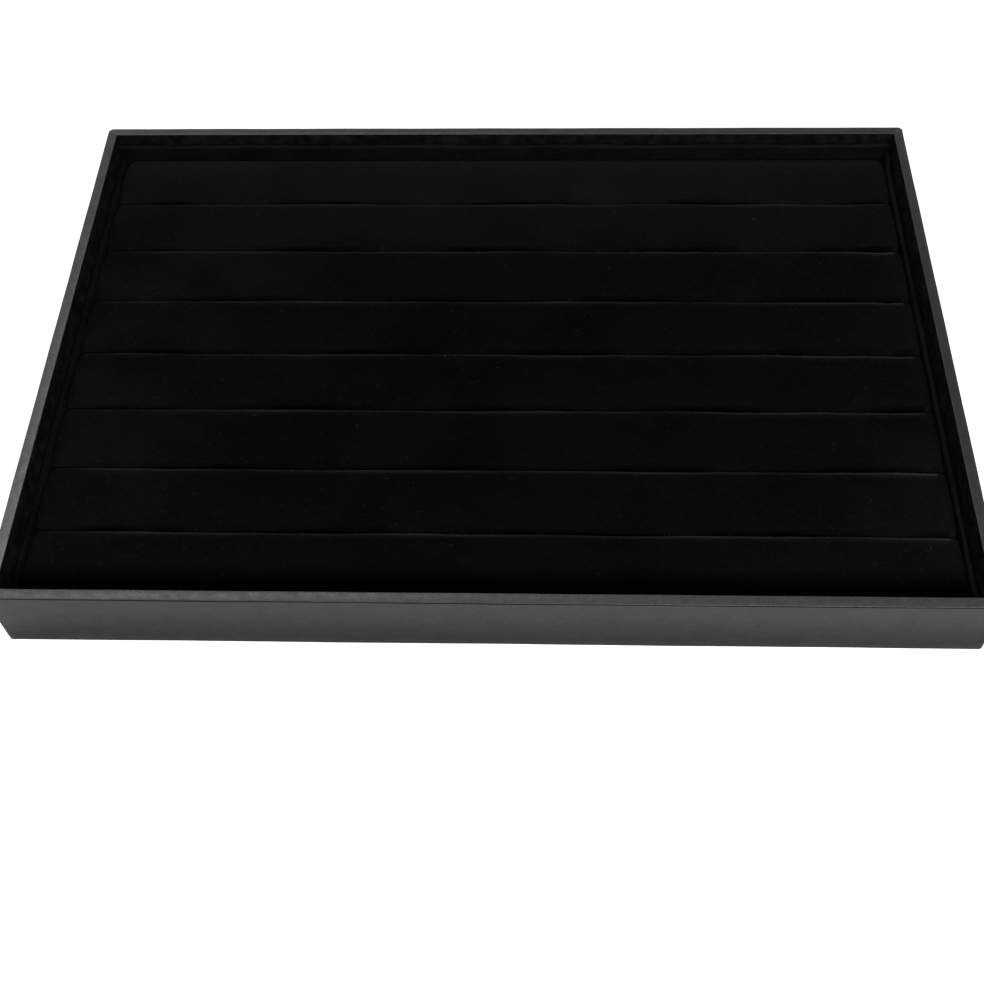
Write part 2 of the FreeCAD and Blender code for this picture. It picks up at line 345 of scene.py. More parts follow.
class Effect:
    """A shader node group that takes a Vector and some sizes and gives some numbers."""

    def __init__(self, name: str, sizes: tuple[str, ...], outputs: tuple[str, ...]) -> None:
        """Make an empty group.

        Args:
            name: name of the group.
            sizes: names of the sizes that the group takes beside its Vector.
            outputs: names of the numbers that it gives.
        """
        self.group = bpy.data.node_groups.new(name, "ShaderNodeTree")
        add_sockets(self.group, "INPUT", {"Vector": "Vector", **dict.fromkeys(sizes, "Float")})
        add_sockets(self.group, "OUTPUT", dict.fromkeys(outputs, "Float"))
        self.board = Board(self.group)
        self.given = self.board.add("NodeGroupInput").outputs
        self.results = self.board.add("NodeGroupOutput").inputs

    def noise(self, size: object, detail: float, roughness: float = 0.5) -> Socket:
        """Cloudy noise at the group's Vector."""
        return self.board.noise(self.given["Vector"], size, detail, roughness)

    def put_out(self, **values: Socket) -> None:
        """Give the group's outputs their values."""
        for title, value in values.items():
            self.board.fill(self.results[title], value)


@dataclass(frozen=True)
class PileEffect:
    """Velvet pile: broad patches and small marks where the nap lies another way, and the short fibres."""

    patch_span: Span = (0.3, 0.72)
    patch_share: float = 0.75
    mark_size: float = 0.0028
    mark_span: Span = (0.57, 0.76)
    mark_share: float = 0.85
    grain_span: Span = (0.32, 0.7)

    def build(self) -> Effect:
        """Make the group.

        Returns:
            A group that gives the patches' shade, the fibres' grain and their height.
        """
        effect = Effect("Velvet pile", ("Patch size", "Pile size"), ("Shade", "Grain", "Height"))
        board = effect.board
        patches = effect.noise(effect.given["Patch size"], detail=2.0, roughness=0.55)
        fibres = effect.noise(effect.given["Pile size"], detail=2.0, roughness=0.6)
        marks = effect.noise(self.mark_size, detail=1.0)
        effect.put_out(
            Shade=board.math(
                "ADD",
                board.ramp(patches, self.patch_span, (0.0, self.patch_share)),
                board.ramp(marks, self.mark_span, (0.0, self.mark_share)),
            ),
            Grain=board.ramp(fibres, self.grain_span),
            Height=fibres,
        )
        return effect


@dataclass(frozen=True)
class PebbleEffect:
    """Leatherette grain: small pebbles, faint mottling and a fine speckle."""

    unevenness: float = 0.9
    pebble_span: Span = (0.1, 0.75)
    pebble_share: float = 0.7
    mottle_share: float = 0.5
    speckle_size: float = 0.0014
    speckle_span: Span = (0.36, 0.64)

    def build(self) -> Effect:
        """Make the group.

        Returns:
            A group that gives the grain's height, the mottling and the speckle.
        """
        effect = Effect("Pebble grain", ("Pebble size", "Mottle size"), ("Height", "Mottle", "Scuff"))
        board, given = effect.board, effect.given
        inputs = {
            "Vector": given["Vector"],
            "Scale": board.math("DIVIDE", 1.0, given["Pebble size"]),
            "Randomness": self.unevenness,
        }
        pebbles = board.take("ShaderNodeTexVoronoi", inputs, "Distance", feature="SMOOTH_F1")
        mottle = effect.noise(given["Mottle size"], detail=3.0, roughness=0.6)
        speckles = effect.noise(self.speckle_size, detail=3.0, roughness=0.65)
        raised = board.math("MULTIPLY", board.ramp(pebbles, self.pebble_span, (1.0, 0.0)), self.pebble_share)
        effect.put_out(
            Height=board.math("ADD", raised, board.math("MULTIPLY", mottle, self.mottle_share)),
            Mottle=mottle,
            Scuff=board.ramp(speckles, self.speckle_span),
        )
        return effect


@dataclass(frozen=True)
class FleckEffect:
    """Pressed fibres: fine flecks in board, card and paper."""

    stretch: Place = (0.35, 1.0, 1.0)
    fleck_span: Span = (0.35, 0.7)
    cloud_size: float = 0.02
    cloud_span: Span = (0.2, 0.8)
    cloud_shares: Span = (0.7, 1.0)

    def build(self) -> Effect:
        """Make the group.

        Returns:
            A group that gives the flecks and the surface's height.
        """
        effect = Effect("Pressed fibres", ("Fleck size",), ("Fleck", "Height"))
        board, given = effect.board, effect.given
        long_way = board.take("ShaderNodeMapping", {"Vector": given["Vector"], "Scale": self.stretch})
        flecks = board.noise(long_way, given["Fleck size"], detail=4.0, roughness=0.65)
        clouds = board.ramp(effect.noise(self.cloud_size, detail=2.0), self.cloud_span, self.cloud_shares)
        effect.put_out(
            Fleck=board.math("MULTIPLY", board.ramp(flecks, self.fleck_span), clouds),
            Height=flecks,
        )
        return effect


# Finishes

def grey(value: float) -> Colour:
    """A colour without a hue."""
    return (value, value, value)


class Finish:
    """A material that is being made."""

    def __init__(self, name: str) -> None:
        """Make an empty material with one shader.

        Args:
            name: name of the material.
        """
        self.material = bpy.data.materials.new(name)
        self.material.use_nodes = True
        self.board = Board(self.material.node_tree)
        self.shader = self.material.node_tree.nodes["Principled BSDF"]
        self.place = self.board.take("ShaderNodeTexCoord", output="Object")

    def effect(self, effect: Effect, **sizes: float) -> Sockets:
        """Outputs of a shared effect that is placed in the material, with an underscore for each blank."""
        inputs = {"Vector": self.place, **spaced(sizes)}
        return self.board.add("ShaderNodeGroup", inputs, node_tree=effect.group).outputs

    def painted_light(self) -> Socket:
        """The surface's painted light: a painted highlight above 0, painted shade below 0."""
        return self.board.take("ShaderNodeAttribute", output="Fac", attribute_name=PAINTED_LIGHT)

    def set(self, **inputs: object) -> None:
        """Fill inputs of the shader, with an underscore for each blank of their names."""
        for title, value in spaced(inputs).items():
            self.board.fill(self.shader.inputs[title], value)

    def bump(self, height: Socket, depth: float, strength: float) -> None:
        """Let a height from 0 to 1, of a real depth in metres, raise the surface by a share."""
        inputs = {"Height": height, "Distance": depth, "Strength": strength}
        self.set(Normal=self.board.take("ShaderNodeBump", inputs))


@dataclass(frozen=True)
class ToneZone:
    """A long round zone of the velvet in other colours: a painted sheen, a painted shadow or a darker,
    greyer middle.
    """

    middle: Place
    reach: Place
    dark: Colour
    pale: Colour
    share: float
    fade_span: Span = (0.4, 1.2)

    def share_at(self, board: Board, place: Socket) -> Socket:
        """How much of the zone's colours lie at a place on the surface, fading outwards."""
        away = board.vector("DIVIDE", board.vector("SUBTRACT", place, self.middle), self.reach)
        return board.ramp(board.vector("LENGTH", away, output="Value"), self.fade_span, (self.share, 0.0))


@dataclass(frozen=True)
class Velvet:
    """Black velvet, with a painted sheen along its folds and lips and painted shade on the slits' far
    shoulders.
    """

    name: str
    dark: Colour
    pale: Colour
    # fold: colour of the painted sheen along folds and lips.
    fold: Colour
    sheen: float
    shade_colour: Colour = grey(0.0003)
    patch_size: float = 0.03
    pile_size: float = 0.0005
    pile_depth: float = 0.0002
    pile_bump: float = 0.5
    roughness: float = 0.95
    sheen_roughness: float = 0.4
    sheen_tint: Colour = (0.85, 1.0, 0.98)
    shaded: float = 0.35
    tone_zones: tuple[ToneZone, ...] = ()

    def material(self, pile: Effect) -> Material:
        """Make the velvet's material.

        Args:
            pile: the shared pile effect.

        Returns:
            The new material.
        """
        finish = Finish(self.name)
        board = finish.board
        nap = finish.effect(pile, Patch_size=self.patch_size, Pile_size=self.pile_size)
        painted_light = finish.painted_light()
        dark, pale = self.dark, self.pale
        for zone in self.tone_zones:
            share = zone.share_at(board, finish.place)
            dark = board.blend(share, dark, zone.dark)
            pale = board.blend(share, pale, zone.pale)
        # Painted sheen where the painted light is above 0, painted shade where it is below 0.
        lit = board.blend(painted_light, board.blend(nap["Shade"], dark, pale), self.fold)
        shaded_nap = board.blend(board.math("MULTIPLY", painted_light, -1.0), lit, self.shade_colour)
        shadows = board.ramp(nap["Grain"], (0.0, 1.0), (self.shaded, 0.0))
        finish.set(
            Base_Color=board.blend(shadows, shaded_nap, self.shade_colour),
            Roughness=self.roughness,
            Specular_IOR_Level=0.0,
            Sheen_Weight=self.sheen,
            Sheen_Roughness=self.sheen_roughness,
            Sheen_Tint=self.sheen_tint,
        )
        finish.bump(nap["Height"], self.pile_depth, self.pile_bump)
        return finish.material


@dataclass(frozen=True)
class Leatherette:
    """Black coated sheet with a fine grain, with painted highlights and reflections blended in, and painted
    shade, matt and near black, on the cut edges at the seam.
    """

    name: str
    dark: Colour
    pale: Colour
    highlight_colour: Colour
    roughness: Span
    gloss: float
    speckle: float
    pebble_size: float = 0.0007
    mottle_size: float = 0.007
    mottle_span: Span = (0.3, 0.7)
    grain_depth: float = 0.00006
    grain_bump: float = 0.6
    cut_shade: Colour = grey(0.0008)
    cut_roughness: float = 0.95

    def material(self, pebble: Effect) -> Material:
        """Make the leatherette's material.

        Args:
            pebble: the shared grain effect.

        Returns:
            The new material.
        """
        finish = Finish(self.name)
        board = finish.board
        grain = finish.effect(pebble, Pebble_size=self.pebble_size, Mottle_size=self.mottle_size)
        painted_light = finish.painted_light()
        ground = board.blend(board.ramp(grain["Mottle"], self.mottle_span), self.dark, self.pale)
        rough = board.ramp(grain["Mottle"], self.mottle_span, self.roughness)
        speckles = board.ramp(grain["Scuff"], (0.0, 1.0), (1.0 - self.speckle, 1.0 + self.speckle))
        # Painted highlights and reflections, speckled, and painted shade on the seam's cut edges.
        highlights = board.blend(board.math("MULTIPLY", painted_light, speckles), ground, self.highlight_colour)
        cut_shade = board.math("MULTIPLY", painted_light, -1.0)
        finish.set(
            Base_Color=board.blend(cut_shade, highlights, self.cut_shade),
            Roughness=board.ramp(cut_shade, (0.0, 1.0), (rough, self.cut_roughness)),
            Specular_IOR_Level=self.gloss,
        )
        finish.bump(grain["Height"], self.grain_depth, self.grain_bump)
        return finish.material


@dataclass(frozen=True)
class Pressed:
    """Board, card or paper of pressed fibres."""

    name: str
    dark: Colour
    pale: Colour
    fleck_size: float
    depth: float = 0.00008
    fleck_bump: float = 0.5
    roughness: float = 0.85

    def material(self, fleck: Effect) -> Material:
        """Make the pressed sheet's material.

        Args:
            fleck: the shared fibre effect.

        Returns:
            The new material.
        """
        finish = Finish(self.name)
        fibres = finish.effect(fleck, Fleck_size=self.fleck_size)
        finish.set(
            Base_Color=finish.board.blend(fibres["Fleck"], self.dark, self.pale),
            Roughness=self.roughness,
        )
        finish.bump(fibres["Height"], self.depth, self.fleck_bump)
        return finish.material


@dataclass(frozen=True)
class Foam:
    """Open-celled foam, with painted shade in its pores."""

    name: str
    wall: Colour
    pore_shade: Colour
    cell_size: float = 0.0009
    pore_span: Span = (0.05, 0.3)
    depth: float = 0.0003
    cell_bump: float = 0.8
    roughness: float = 0.95

    def material(self) -> Material:
        """Make the foam's material.

        Returns:
            The new material.
        """
        finish = Finish(self.name)
        board = finish.board
        inputs = {"Vector": finish.place, "Scale": 1.0 / self.cell_size}
        cells = board.take("ShaderNodeTexVoronoi", inputs, "Distance", feature="DISTANCE_TO_EDGE")
        open_share = board.ramp(cells, self.pore_span)
        finish.set(Base_Color=board.blend(open_share, self.wall, self.pore_shade), Roughness=self.roughness)
        finish.bump(board.math("SUBTRACT", 1.0, open_share), self.depth, self.cell_bump)
        return finish.material


PAD_TONE_ZONES = (
    # Painted sheen: the back of the pad lighter and greener.
    ToneZone(
        (0.0, 0.115, 0.019), (0.3, 0.06, 1.0),
        dark=(0.0047, 0.0074, 0.0064), pale=(0.006, 0.0091, 0.0079), share=0.75,
    ),
    # A darker, greyer middle.
    ToneZone(
        (0.01, -0.035, 0.019), (0.16, 0.11, 1.0),
        dark=(0.0021, 0.002, 0.00195), pale=(0.0033, 0.0032, 0.0031), share=0.8,
    ),
    # Painted shadow of the front wall along the pad's front edge.
    ToneZone(
        (0.02, -0.112, 0.019), (0.4, 0.0115, 1.0),
        dark=grey(0.0005), pale=grey(0.0009), share=0.85,
    ),
)


class Wardrobe:
    """Every material of the tray, made once."""

    def __init__(self) -> None:
        """Make the shared effects and the materials that use them."""
        pebble, pile, fleck = PebbleEffect().build(), PileEffect().build(), FleckEffect().build()
        # Each leatherette's highlight colour paints highlights and reflections of the lamps onto it.
        self.band = Leatherette(
            "band_leatherette", grey(0.0016), grey(0.0026), highlight_colour=grey(0.028),
            roughness=(0.36, 0.46), gloss=0.18, speckle=0.12,
        ).material(pebble)
        self.rim = Leatherette(
            "rim_leatherette", (0.002, 0.0027, 0.0025), (0.003, 0.0042, 0.0038),
            highlight_colour=(0.082, 0.087, 0.0855), roughness=(0.26, 0.47), gloss=0.26, speckle=0.2,
            mottle_size=0.005,
        ).material(pebble)
        # The velvets' fold colours paint a sheen along folds and lips.
        self.pad_velvet = Velvet(
            "pad_velvet", (0.0031, 0.0042, 0.0038), (0.0046, 0.0066, 0.0059),
            fold=(0.031, 0.033, 0.032), sheen=0.02, sheen_roughness=0.3, tone_zones=PAD_TONE_ZONES,
        ).material(pile)
        self.liner_velvet = Velvet(
            "liner_velvet", (0.0025, 0.0037, 0.0033), (0.0038, 0.0066, 0.0058),
            fold=(0.0095, 0.0112, 0.0105), sheen=0.006, patch_size=0.012,
        ).material(pile)
        # The fringe fibres are much paler than the velvet: a painted sheen on the slits' lips and the
        # liners' folds.
        self.fringe = Velvet(
            "fringe_fibres", (0.009, 0.0105, 0.0105), (0.036, 0.039, 0.038),
            fold=(0.036, 0.039, 0.038), sheen=0.1, patch_size=0.01,
        ).material(pile)
        self.lint = Velvet(
            "lint_fibres", (0.015, 0.017, 0.017), (0.05, 0.053, 0.053),
            fold=(0.05, 0.053, 0.053), sheen=0.1, patch_size=0.006,
        ).material(pile)
        self.foam = Foam("grey_foam", wall=(0.16, 0.16, 0.165), pore_shade=(0.06, 0.06, 0.062)).material()
        self.fibreboard = Pressed(
            "fibreboard", (0.24, 0.16, 0.1), (0.46, 0.34, 0.23), fleck_size=0.0015,
        ).material(fleck)
        self.card = Pressed(
            "grey_card", (0.28, 0.265, 0.24), (0.42, 0.4, 0.365), fleck_size=0.0009,
        ).material(fleck)
        self.floor_paper = Pressed(
            "floor_paper", (0.008, 0.008, 0.009), (0.018, 0.018, 0.019), fleck_size=0.0008,
        ).material(fleck)
        self.base_paper = Pressed(
            "base_paper", (0.012, 0.012, 0.013), (0.03, 0.03, 0.031), fleck_size=0.001,
        ).material(fleck)


# Loose fibres

class Ground(Enum):
    """What loose fibres stand on, with the turn that they start from."""

    LINES = ("lines", 0.0)
    SURFACE = ("a surface", math.pi / 2)

    def __init__(self, label: str, first_turn: float) -> None:
        """Keep the ground's name and the fibres' first turn."""
        self.label = label
        self.first_turn = first_turn


@dataclass
class Fibres:
    """Loose fibres of the velvet, standing along lines or lying on a surface."""

    ground: Ground
    sizes: dict[str, float]
    seed: int
    rings: int = 3
    sides: int = 3
    least_size: float = 0.5
    tip_share: float = 0.3
    level_share: float = 0.9

    def points(self, board: Board, given: Sockets) -> Socket:
        """Places of the fibres on their ground.

        Args:
            board: tree that is being wired.
            given: the tree's inputs.

        Returns:
            The points.
        """
        if self.ground is Ground.LINES:
            line = board.take("GeometryNodeMeshToCurve", {"Mesh": given["Geometry"]})
            inputs = {"Curve": line, "Length": given["Spacing"]}
            even = board.take("GeometryNodeResampleCurve", inputs, mode="LENGTH")
            return board.take("GeometryNodeCurveToPoints", {0: even}, mode="EVALUATED")
        normal = board.take("GeometryNodeInputNormal")
        level = board.take("ShaderNodeSeparateXYZ", {0: normal}, "Z")
        inputs = {
            "Mesh": given["Geometry"],
            "Selection": board.math("GREATER_THAN", level, self.level_share),
            "Density": board.math("DIVIDE", 1.0, board.math("MULTIPLY", given["Spacing"], given["Spacing"])),
            "Seed": given["Seed"],
        }
        return board.take("GeometryNodeDistributePointsOnFaces", inputs)

    def strand(self, board: Board, given: Sockets) -> Socket:
        """One bent fibre that thins towards its tip.

        Args:
            board: tree that is being wired.
            given: the tree's inputs.

        Returns:
            The fibre's mesh.
        """
        half = board.math("MULTIPLY", given["Length"], 0.5)
        aside = board.math("MULTIPLY", given["Length"], given["Bend"])
        inputs = {
            "Resolution": self.rings,
            "Start": (0.0, 0.0, 0.0),
            "Middle": board.take("ShaderNodeCombineXYZ", {"Z": half}),
            "End": board.take("ShaderNodeCombineXYZ", {"X": aside, "Z": given["Length"]}),
        }
        bow = board.take("GeometryNodeCurveQuadraticBezier", inputs)
        along = board.take("GeometryNodeSplineParameter", output="Factor")
        inputs = {"Curve": bow, "Radius": board.ramp(along, (0.0, 1.0), (1.0, self.tip_share))}
        thinned = board.take("GeometryNodeSetCurveRadius", inputs)
        inputs = {"Resolution": self.sides, "Radius": board.math("MULTIPLY", given["Width"], 0.5)}
        section = board.take("GeometryNodeCurvePrimitiveCircle", inputs)
        inputs = {"Curve": thinned, "Profile Curve": section, "Fill Caps": True}
        return board.take("GeometryNodeCurveToMesh", inputs)

    def draw(self, board: Board, seed: Socket) -> Socket:
        """A random vector for each fibre, each part of it from -1 to 1."""
        inputs = {0: (-1.0, -1.0, -1.0), 1: (1.0, 1.0, 1.0), 8: seed}
        return board.take("FunctionNodeRandomValue", inputs, data_type="FLOAT_VECTOR")

    def tree(self) -> bpy.types.NodeTree:
        """Geometry tree that sets one fibre on each point.

        Returns:
            The tree, with named inputs for its sizes, its seed and its finish.
        """
        group = bpy.data.node_groups.new(f"Fibres on {self.ground.label}", "GeometryNodeTree")
        sizes = dict.fromkeys(self.sizes, "Float")
        add_sockets(group, "INPUT", {"Geometry": "Geometry", **sizes, "Seed": "Int", "Finish": "Material"})
        add_sockets(group, "OUTPUT", {"Fibres": "Geometry"})
        board = Board(group)
        given = board.add("NodeGroupInput").outputs
        shift_seed, turn_seed, size_seed = (
            board.math("ADD", given["Seed"], number) for number in range(1, 4)
        )
        inputs = {0: self.draw(board, shift_seed), "Scale": given["Scatter"]}
        shift = board.take("ShaderNodeVectorMath", inputs, operation="SCALE")
        spread = board.take("ShaderNodeCombineXYZ", {"X": given["Lean"], "Y": given["Lean"], "Z": math.pi})
        first_turn = (self.ground.first_turn, 0.0, 0.0)
        turn = board.vector("MULTIPLY_ADD", self.draw(board, turn_seed), spread, first_turn)
        size = board.take("FunctionNodeRandomValue", {2: self.least_size, 3: 1.0, 8: size_seed}, 1)
        inputs = {"Geometry": self.points(board, given), "Offset": shift}
        spots = board.take("GeometryNodeSetPosition", inputs)
        inputs = {"Points": spots, "Instance": self.strand(board, given), "Rotation": turn, "Scale": size}
        stood = board.take("GeometryNodeInstanceOnPoints", inputs)
        real = board.take("GeometryNodeRealizeInstances", {0: stood})
        dressed = board.take("GeometryNodeSetMaterial", {"Geometry": real, "Material": given["Finish"]})
        board.add("NodeGroupOutput", {"Fibres": dressed})
        return group

    def grow(self, piece: Piece, body: str, material: Material) -> Piece:
        """Turn a piece that holds only the ground into its fibres.

        Args:
            piece: lines or a surface, which the fibres take the place of.
            body: body that the fibres move with.
            material: finish of the fibres.

        Returns:
            The finished piece.
        """
        tree = self.tree()
        values = {**self.sizes, "Seed": self.seed, "Finish": material}
        modifier = piece.modifiers.new("fibres", "NODES")
        modifier.node_group = tree
        for item in tree.interface.items_tree:
            if item.in_out == "INPUT" and item.name in values:
                modifier[item.identifier] = values[item.name]
        settle(piece)
        piece.data.shade_smooth()
        hand_in(piece, body)
        return piece


# Walls

class Side(Enum):
    """A wall, with the way along it and the way inwards, walked anticlockwise."""

    FRONT = ("front", (1, 0), (0, 1))
    RIGHT = ("right", (0, 1), (-1, 0))
    BACK = ("back", (-1, 0), (0, -1))
    LEFT = ("left", (0, -1), (1, 0))

    def __init__(self, label: str, along: tuple[int, int], inward: tuple[int, int]) -> None:
        """Keep the wall's name and directions.

        Args:
            label: the wall's name.
            along: the way along it.
            inward: the way towards the tray's middle.
        """
        self.label = label
        self.along = np.array(along, float)
        self.inward = np.array(inward, float)

    @property
    def is_long(self) -> bool:
        """Whether the wall is one of the two long ones."""
        return self in (Side.FRONT, Side.BACK)

    @property
    def after(self) -> "Side":
        """The next wall round the tray."""
        walls = list(Side)
        return walls[(walls.index(self) + 1) % len(walls)]


@dataclass
class WallPath:
    """The tray's outline from above, with a rounding of its own where each wall starts."""

    half_length: float
    half_width: float
    corner_radii: dict[Side, float]
    step: float = 0.0025
    corner_steps: int = 6
    least_radius: float = 0.00004
    end_gaps: tuple[float, ...] = (0.0, 0.0001, 0.00022, 0.0004, 0.0008)

    def halves(self, side: Side) -> Span:
        """Half the wall's length, and its distance from the middle."""
        halves = (self.half_length, self.half_width)
        return halves if side.is_long else halves[::-1]

    def shares(self, side: Side) -> np.ndarray:
        """Places of the columns along a wall's straight stretch, closer together near its ends.

        Args:
            side: the wall.

        Returns:
            Shares of the straight stretch, from 0 to 1.
        """
        length = 2 * self.halves(side)[0]
        near = np.array(self.end_gaps) / length
        inner = np.linspace(0, 1, int(length / self.step))[1:-1]
        return np.concatenate((near, inner, 1 - near[::-1]))

    def count(self, shares: np.ndarray, corners: tuple[bool, bool]) -> int:
        """Number of columns of a run."""
        return len(shares) + self.corner_steps * sum(corners)

    def flat(self, side: Side, inset: np.ndarray, shares: np.ndarray,
             corners: tuple[bool, bool]) -> np.ndarray:
        """Columns along a wall, as distance along it and inset from its outside.

        Args:
            side: the wall.
            inset: distance inwards from the outside, one for each column.
            shares: places along the straight stretch.
            corners: whether the half corner at the start and at the end is taken along.

        Returns:
            Two numbers for each column.
        """
        half, _ = self.halves(side)
        turns = np.radians(np.linspace(45, 90, self.corner_steps + 1)[:-1])
        lead, tail = (len(turns) * corner for corner in corners)
        middle = slice(lead, lead + len(shares))
        first = np.maximum(self.corner_radii[side] - inset, self.least_radius)
        last = np.maximum(self.corner_radii[side.after] - inset, self.least_radius)
        start = -half + inset + first
        end = half - inset - last
        places = np.column_stack((start, inset))
        places[middle, 0] += (end - start)[middle] * shares
        if lead:
            places[:lead, 0] = start[:lead] - first[:lead] * np.cos(turns)
            places[:lead, 1] = (inset + first)[:lead] - first[:lead] * np.sin(turns)
        if tail:
            places[-tail:, 0] = end[-tail:] + last[-tail:] * np.cos(turns[::-1])
            places[-tail:, 1] = (inset + last)[-tail:] - last[-tail:] * np.sin(turns[::-1])
        return places

    def place(self, side: Side, flat: np.ndarray) -> np.ndarray:
        """Turn distances along a wall and insets into places in the tray's frame."""
        _, out = self.halves(side)
        return flat[:, :1] * side.along + (flat[:, 1:] - out) * side.inward


@dataclass(frozen=True)
class CornerHighlight:
    """A painted highlight that fades from one corner of the tray, on top of an even painted share."""

    corner: tuple[int, int]
    reach: float
    share: float
    even: float = 0.0

    def at(self, points: np.ndarray, path: WallPath) -> np.ndarray:
        """Painted highlight at places on the walls.

        Args:
            points: places in the tray's frame.
            path: the walls' outline, which has the corner.

        Returns:
            One share for each place.
        """
        along_x = points[..., 0] - self.corner[0] * path.half_length
        along_y = points[..., 1] - self.corner[1] * path.half_width
        return self.even + self.share * np.exp(-np.hypot(along_x, along_y) / self.reach)


@dataclass
class LeatherSection:
    """Closed section of a leatherette covering, with its shown points first."""

    shown: np.ndarray
    hidden: np.ndarray
    painted_light: np.ndarray
    highlight_share: np.ndarray

    @property
    def points(self) -> np.ndarray:
        """Every point, as inset and height."""
        return np.vstack((self.shown, self.hidden))


@dataclass
class TrayFrame:
    """Mitred walls with their leatherette, and the base."""

    wardrobe: Wardrobe
    rim_crown: float = 0.0001
    rim_rounding: float = 0.00025
    mitre_rounding: float = 0.0003
    band_edge_round: float = 0.00015
    backing: float = 0.00012
    backing_gap: float = 0.00002
    seam_gap: float = 0.0003
    # Reach of the painted shade on the cut edges at the seam, which also spaces the band's rows there.
    cut_shade_reach: float = 0.00014
    band_foot: float = 0.00006
    foot_round: float = 0.0002
    foot_reach: float = 0.0016
    # Painted highlights along the rim's outer edge and on the mitres.
    edge_highlight_reach: float = 0.0009
    edge_highlight: float = 0.06
    mitre_shine: float = 0.5
    mitre_reach: float = 0.00035
    round_steps: int = 6
    crest_steps: int = 8
    leg_steps: int = 4
    edge_steps: int = 4
    cut_steps: int = 2
    face_steps: int = 7
    rim_ripple: Ripple = Ripple(11, 0.00005, (0.06, 0.023, 0.009))
    band_ripple: Ripple = Ripple(23, 0.00007, (0.11, 0.04, 0.015))
    ripple_slants: Span = (3.0, 2.0)
    corner_radii: dict[Side, float] = field(default_factory=lambda: {
        Side.FRONT: 0.0018, Side.RIGHT: 0.0016, Side.BACK: 0.0018, Side.LEFT: 0.002,
    })
    # Painted reflections of the lamps on each rim strip, brightest towards the front left.
    rim_highlights: dict[Side, CornerHighlight] = field(default_factory=lambda: {
        Side.FRONT: CornerHighlight((-1, -1), reach=0.03, share=0.2, even=0.28),
        Side.RIGHT: CornerHighlight((1, -1), reach=0.04, share=0.35),
        Side.BACK: CornerHighlight((-1, 1), reach=0.06, share=0.3),
        Side.LEFT: CornerHighlight((-1, -1), reach=0.11, share=1.0, even=0.05),
    })
    # Painted highlight at the band's front left corner and painted light towards its right end.
    band_highlights: tuple[CornerHighlight, ...] = (
        CornerHighlight((-1, -1), reach=0.013, share=1.3),
        CornerHighlight((1, -1), reach=0.1, share=0.15),
    )

    def __post_init__(self) -> None:
        """Read the walls' sizes from the frame."""
        low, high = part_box("outer_wrap")
        rim_low, rim_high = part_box("front_rim_wrap")
        rail_low, rail_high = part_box("front_rail")
        self.path = WallPath(high.x, high.y, self.corner_radii)
        self.leather = rail_low.y - low.y
        self.wall = rim_high.y - rim_low.y
        self.rim_top = rim_high.z
        self.turn_in_low = rim_low.z
        self.rail_top = rail_high.z
        self.rail_low = rail_low.z
        self.band_top = high.z
        self.band_low = low.z

    def rim_section(self) -> LeatherSection:
        """Section of the strip over the rim: a cut edge, a crowned top and a long turn-in.

        Returns:
            The closed section.
        """
        rounding, crown, wall = self.rim_rounding, self.rim_crown, self.wall
        half = wall / 2
        reach = half - rounding
        lean = math.degrees(math.atan(2 * crown / reach))
        eaves = self.rim_top - crown - rounding
        across = np.linspace(rounding, wall - rounding, self.crest_steps + 1)[1:-1]
        shown = np.vstack((
            arc((rounding, eaves), rounding, 180, 90 + lean, self.round_steps),
            np.column_stack((across, self.rim_top - crown * ((across - half) / reach) ** 2)),
            arc((wall - rounding, eaves), rounding, 90 - lean, 0, self.round_steps),
            upright(wall, np.linspace(eaves, self.turn_in_low, self.leg_steps + 1)[1:]),
        ))
        inside = wall - self.leather
        hidden = np.array([(inside, self.turn_in_low), (inside, self.rail_top), (0.0, self.rail_top)])
        points = np.vstack((shown, hidden))
        top = points[:, 1] > eaves
        # Painted highlight along the rim's outer edge.
        painted_light = self.edge_highlight * np.exp(-((points[:, 0] - rounding) / self.edge_highlight_reach) ** 2) * top
        # Painted shade on the rim strip's cut edge above the seam.
        cut_shade = (points[:, 0] < rounding) * np.exp(-((points[:, 1] - self.rail_top) / self.cut_shade_reach) ** 2)
        return LeatherSection(shown, hidden, painted_light - cut_shade, top * (1 - cut_shade))

    def band_section(self) -> LeatherSection:
        """Section of the band round the walls, folded under the rails, with its backing up to the rim strip.

        Returns:
            The closed section.
        """
        leather, edge = self.leather, self.band_edge_round
        under = self.wall - leather
        near = self.band_top - edge - self.cut_shade_reach * np.arange(1, self.cut_steps + 1)
        below = np.linspace(near[-1], self.rail_low, self.face_steps + 1)[1:-1]
        foot = (self.foot_round, self.band_foot + self.foot_round)
        shown = np.vstack((
            arc((edge, self.band_top - edge), edge, 90, 180, self.edge_steps),
            upright(0.0, np.append(near, below)),
            arc(foot, self.foot_round, 180, 270, self.round_steps),
            [(self.foot_reach, self.band_low), (under, self.band_low)],
        ))[::-1]
        lip, lip_top = leather - self.backing, self.rail_top - self.backing_gap
        hidden = np.array([
            (lip, self.band_top), (lip, lip_top), (leather, lip_top),
            (leather, self.rail_low), (under, self.rail_low),
        ])
        points = np.vstack((shown, hidden))
        face = points[:, 0] < leather / 2
        # Painted shade on the band's cut top edge below the seam.
        cut_shade = np.exp(-(np.minimum(points[:, 1] - self.band_top, 0) / self.cut_shade_reach) ** 2)
        # Painted reflection: the band's face lighter towards its top.
        top_reflection = smooth_step((points[:, 1] - self.rail_low) / (self.band_top - self.rail_low))
        painted_light = face * (1 - cut_shade) * top_reflection
        return LeatherSection(shown, hidden, painted_light - cut_shade, painted_light)

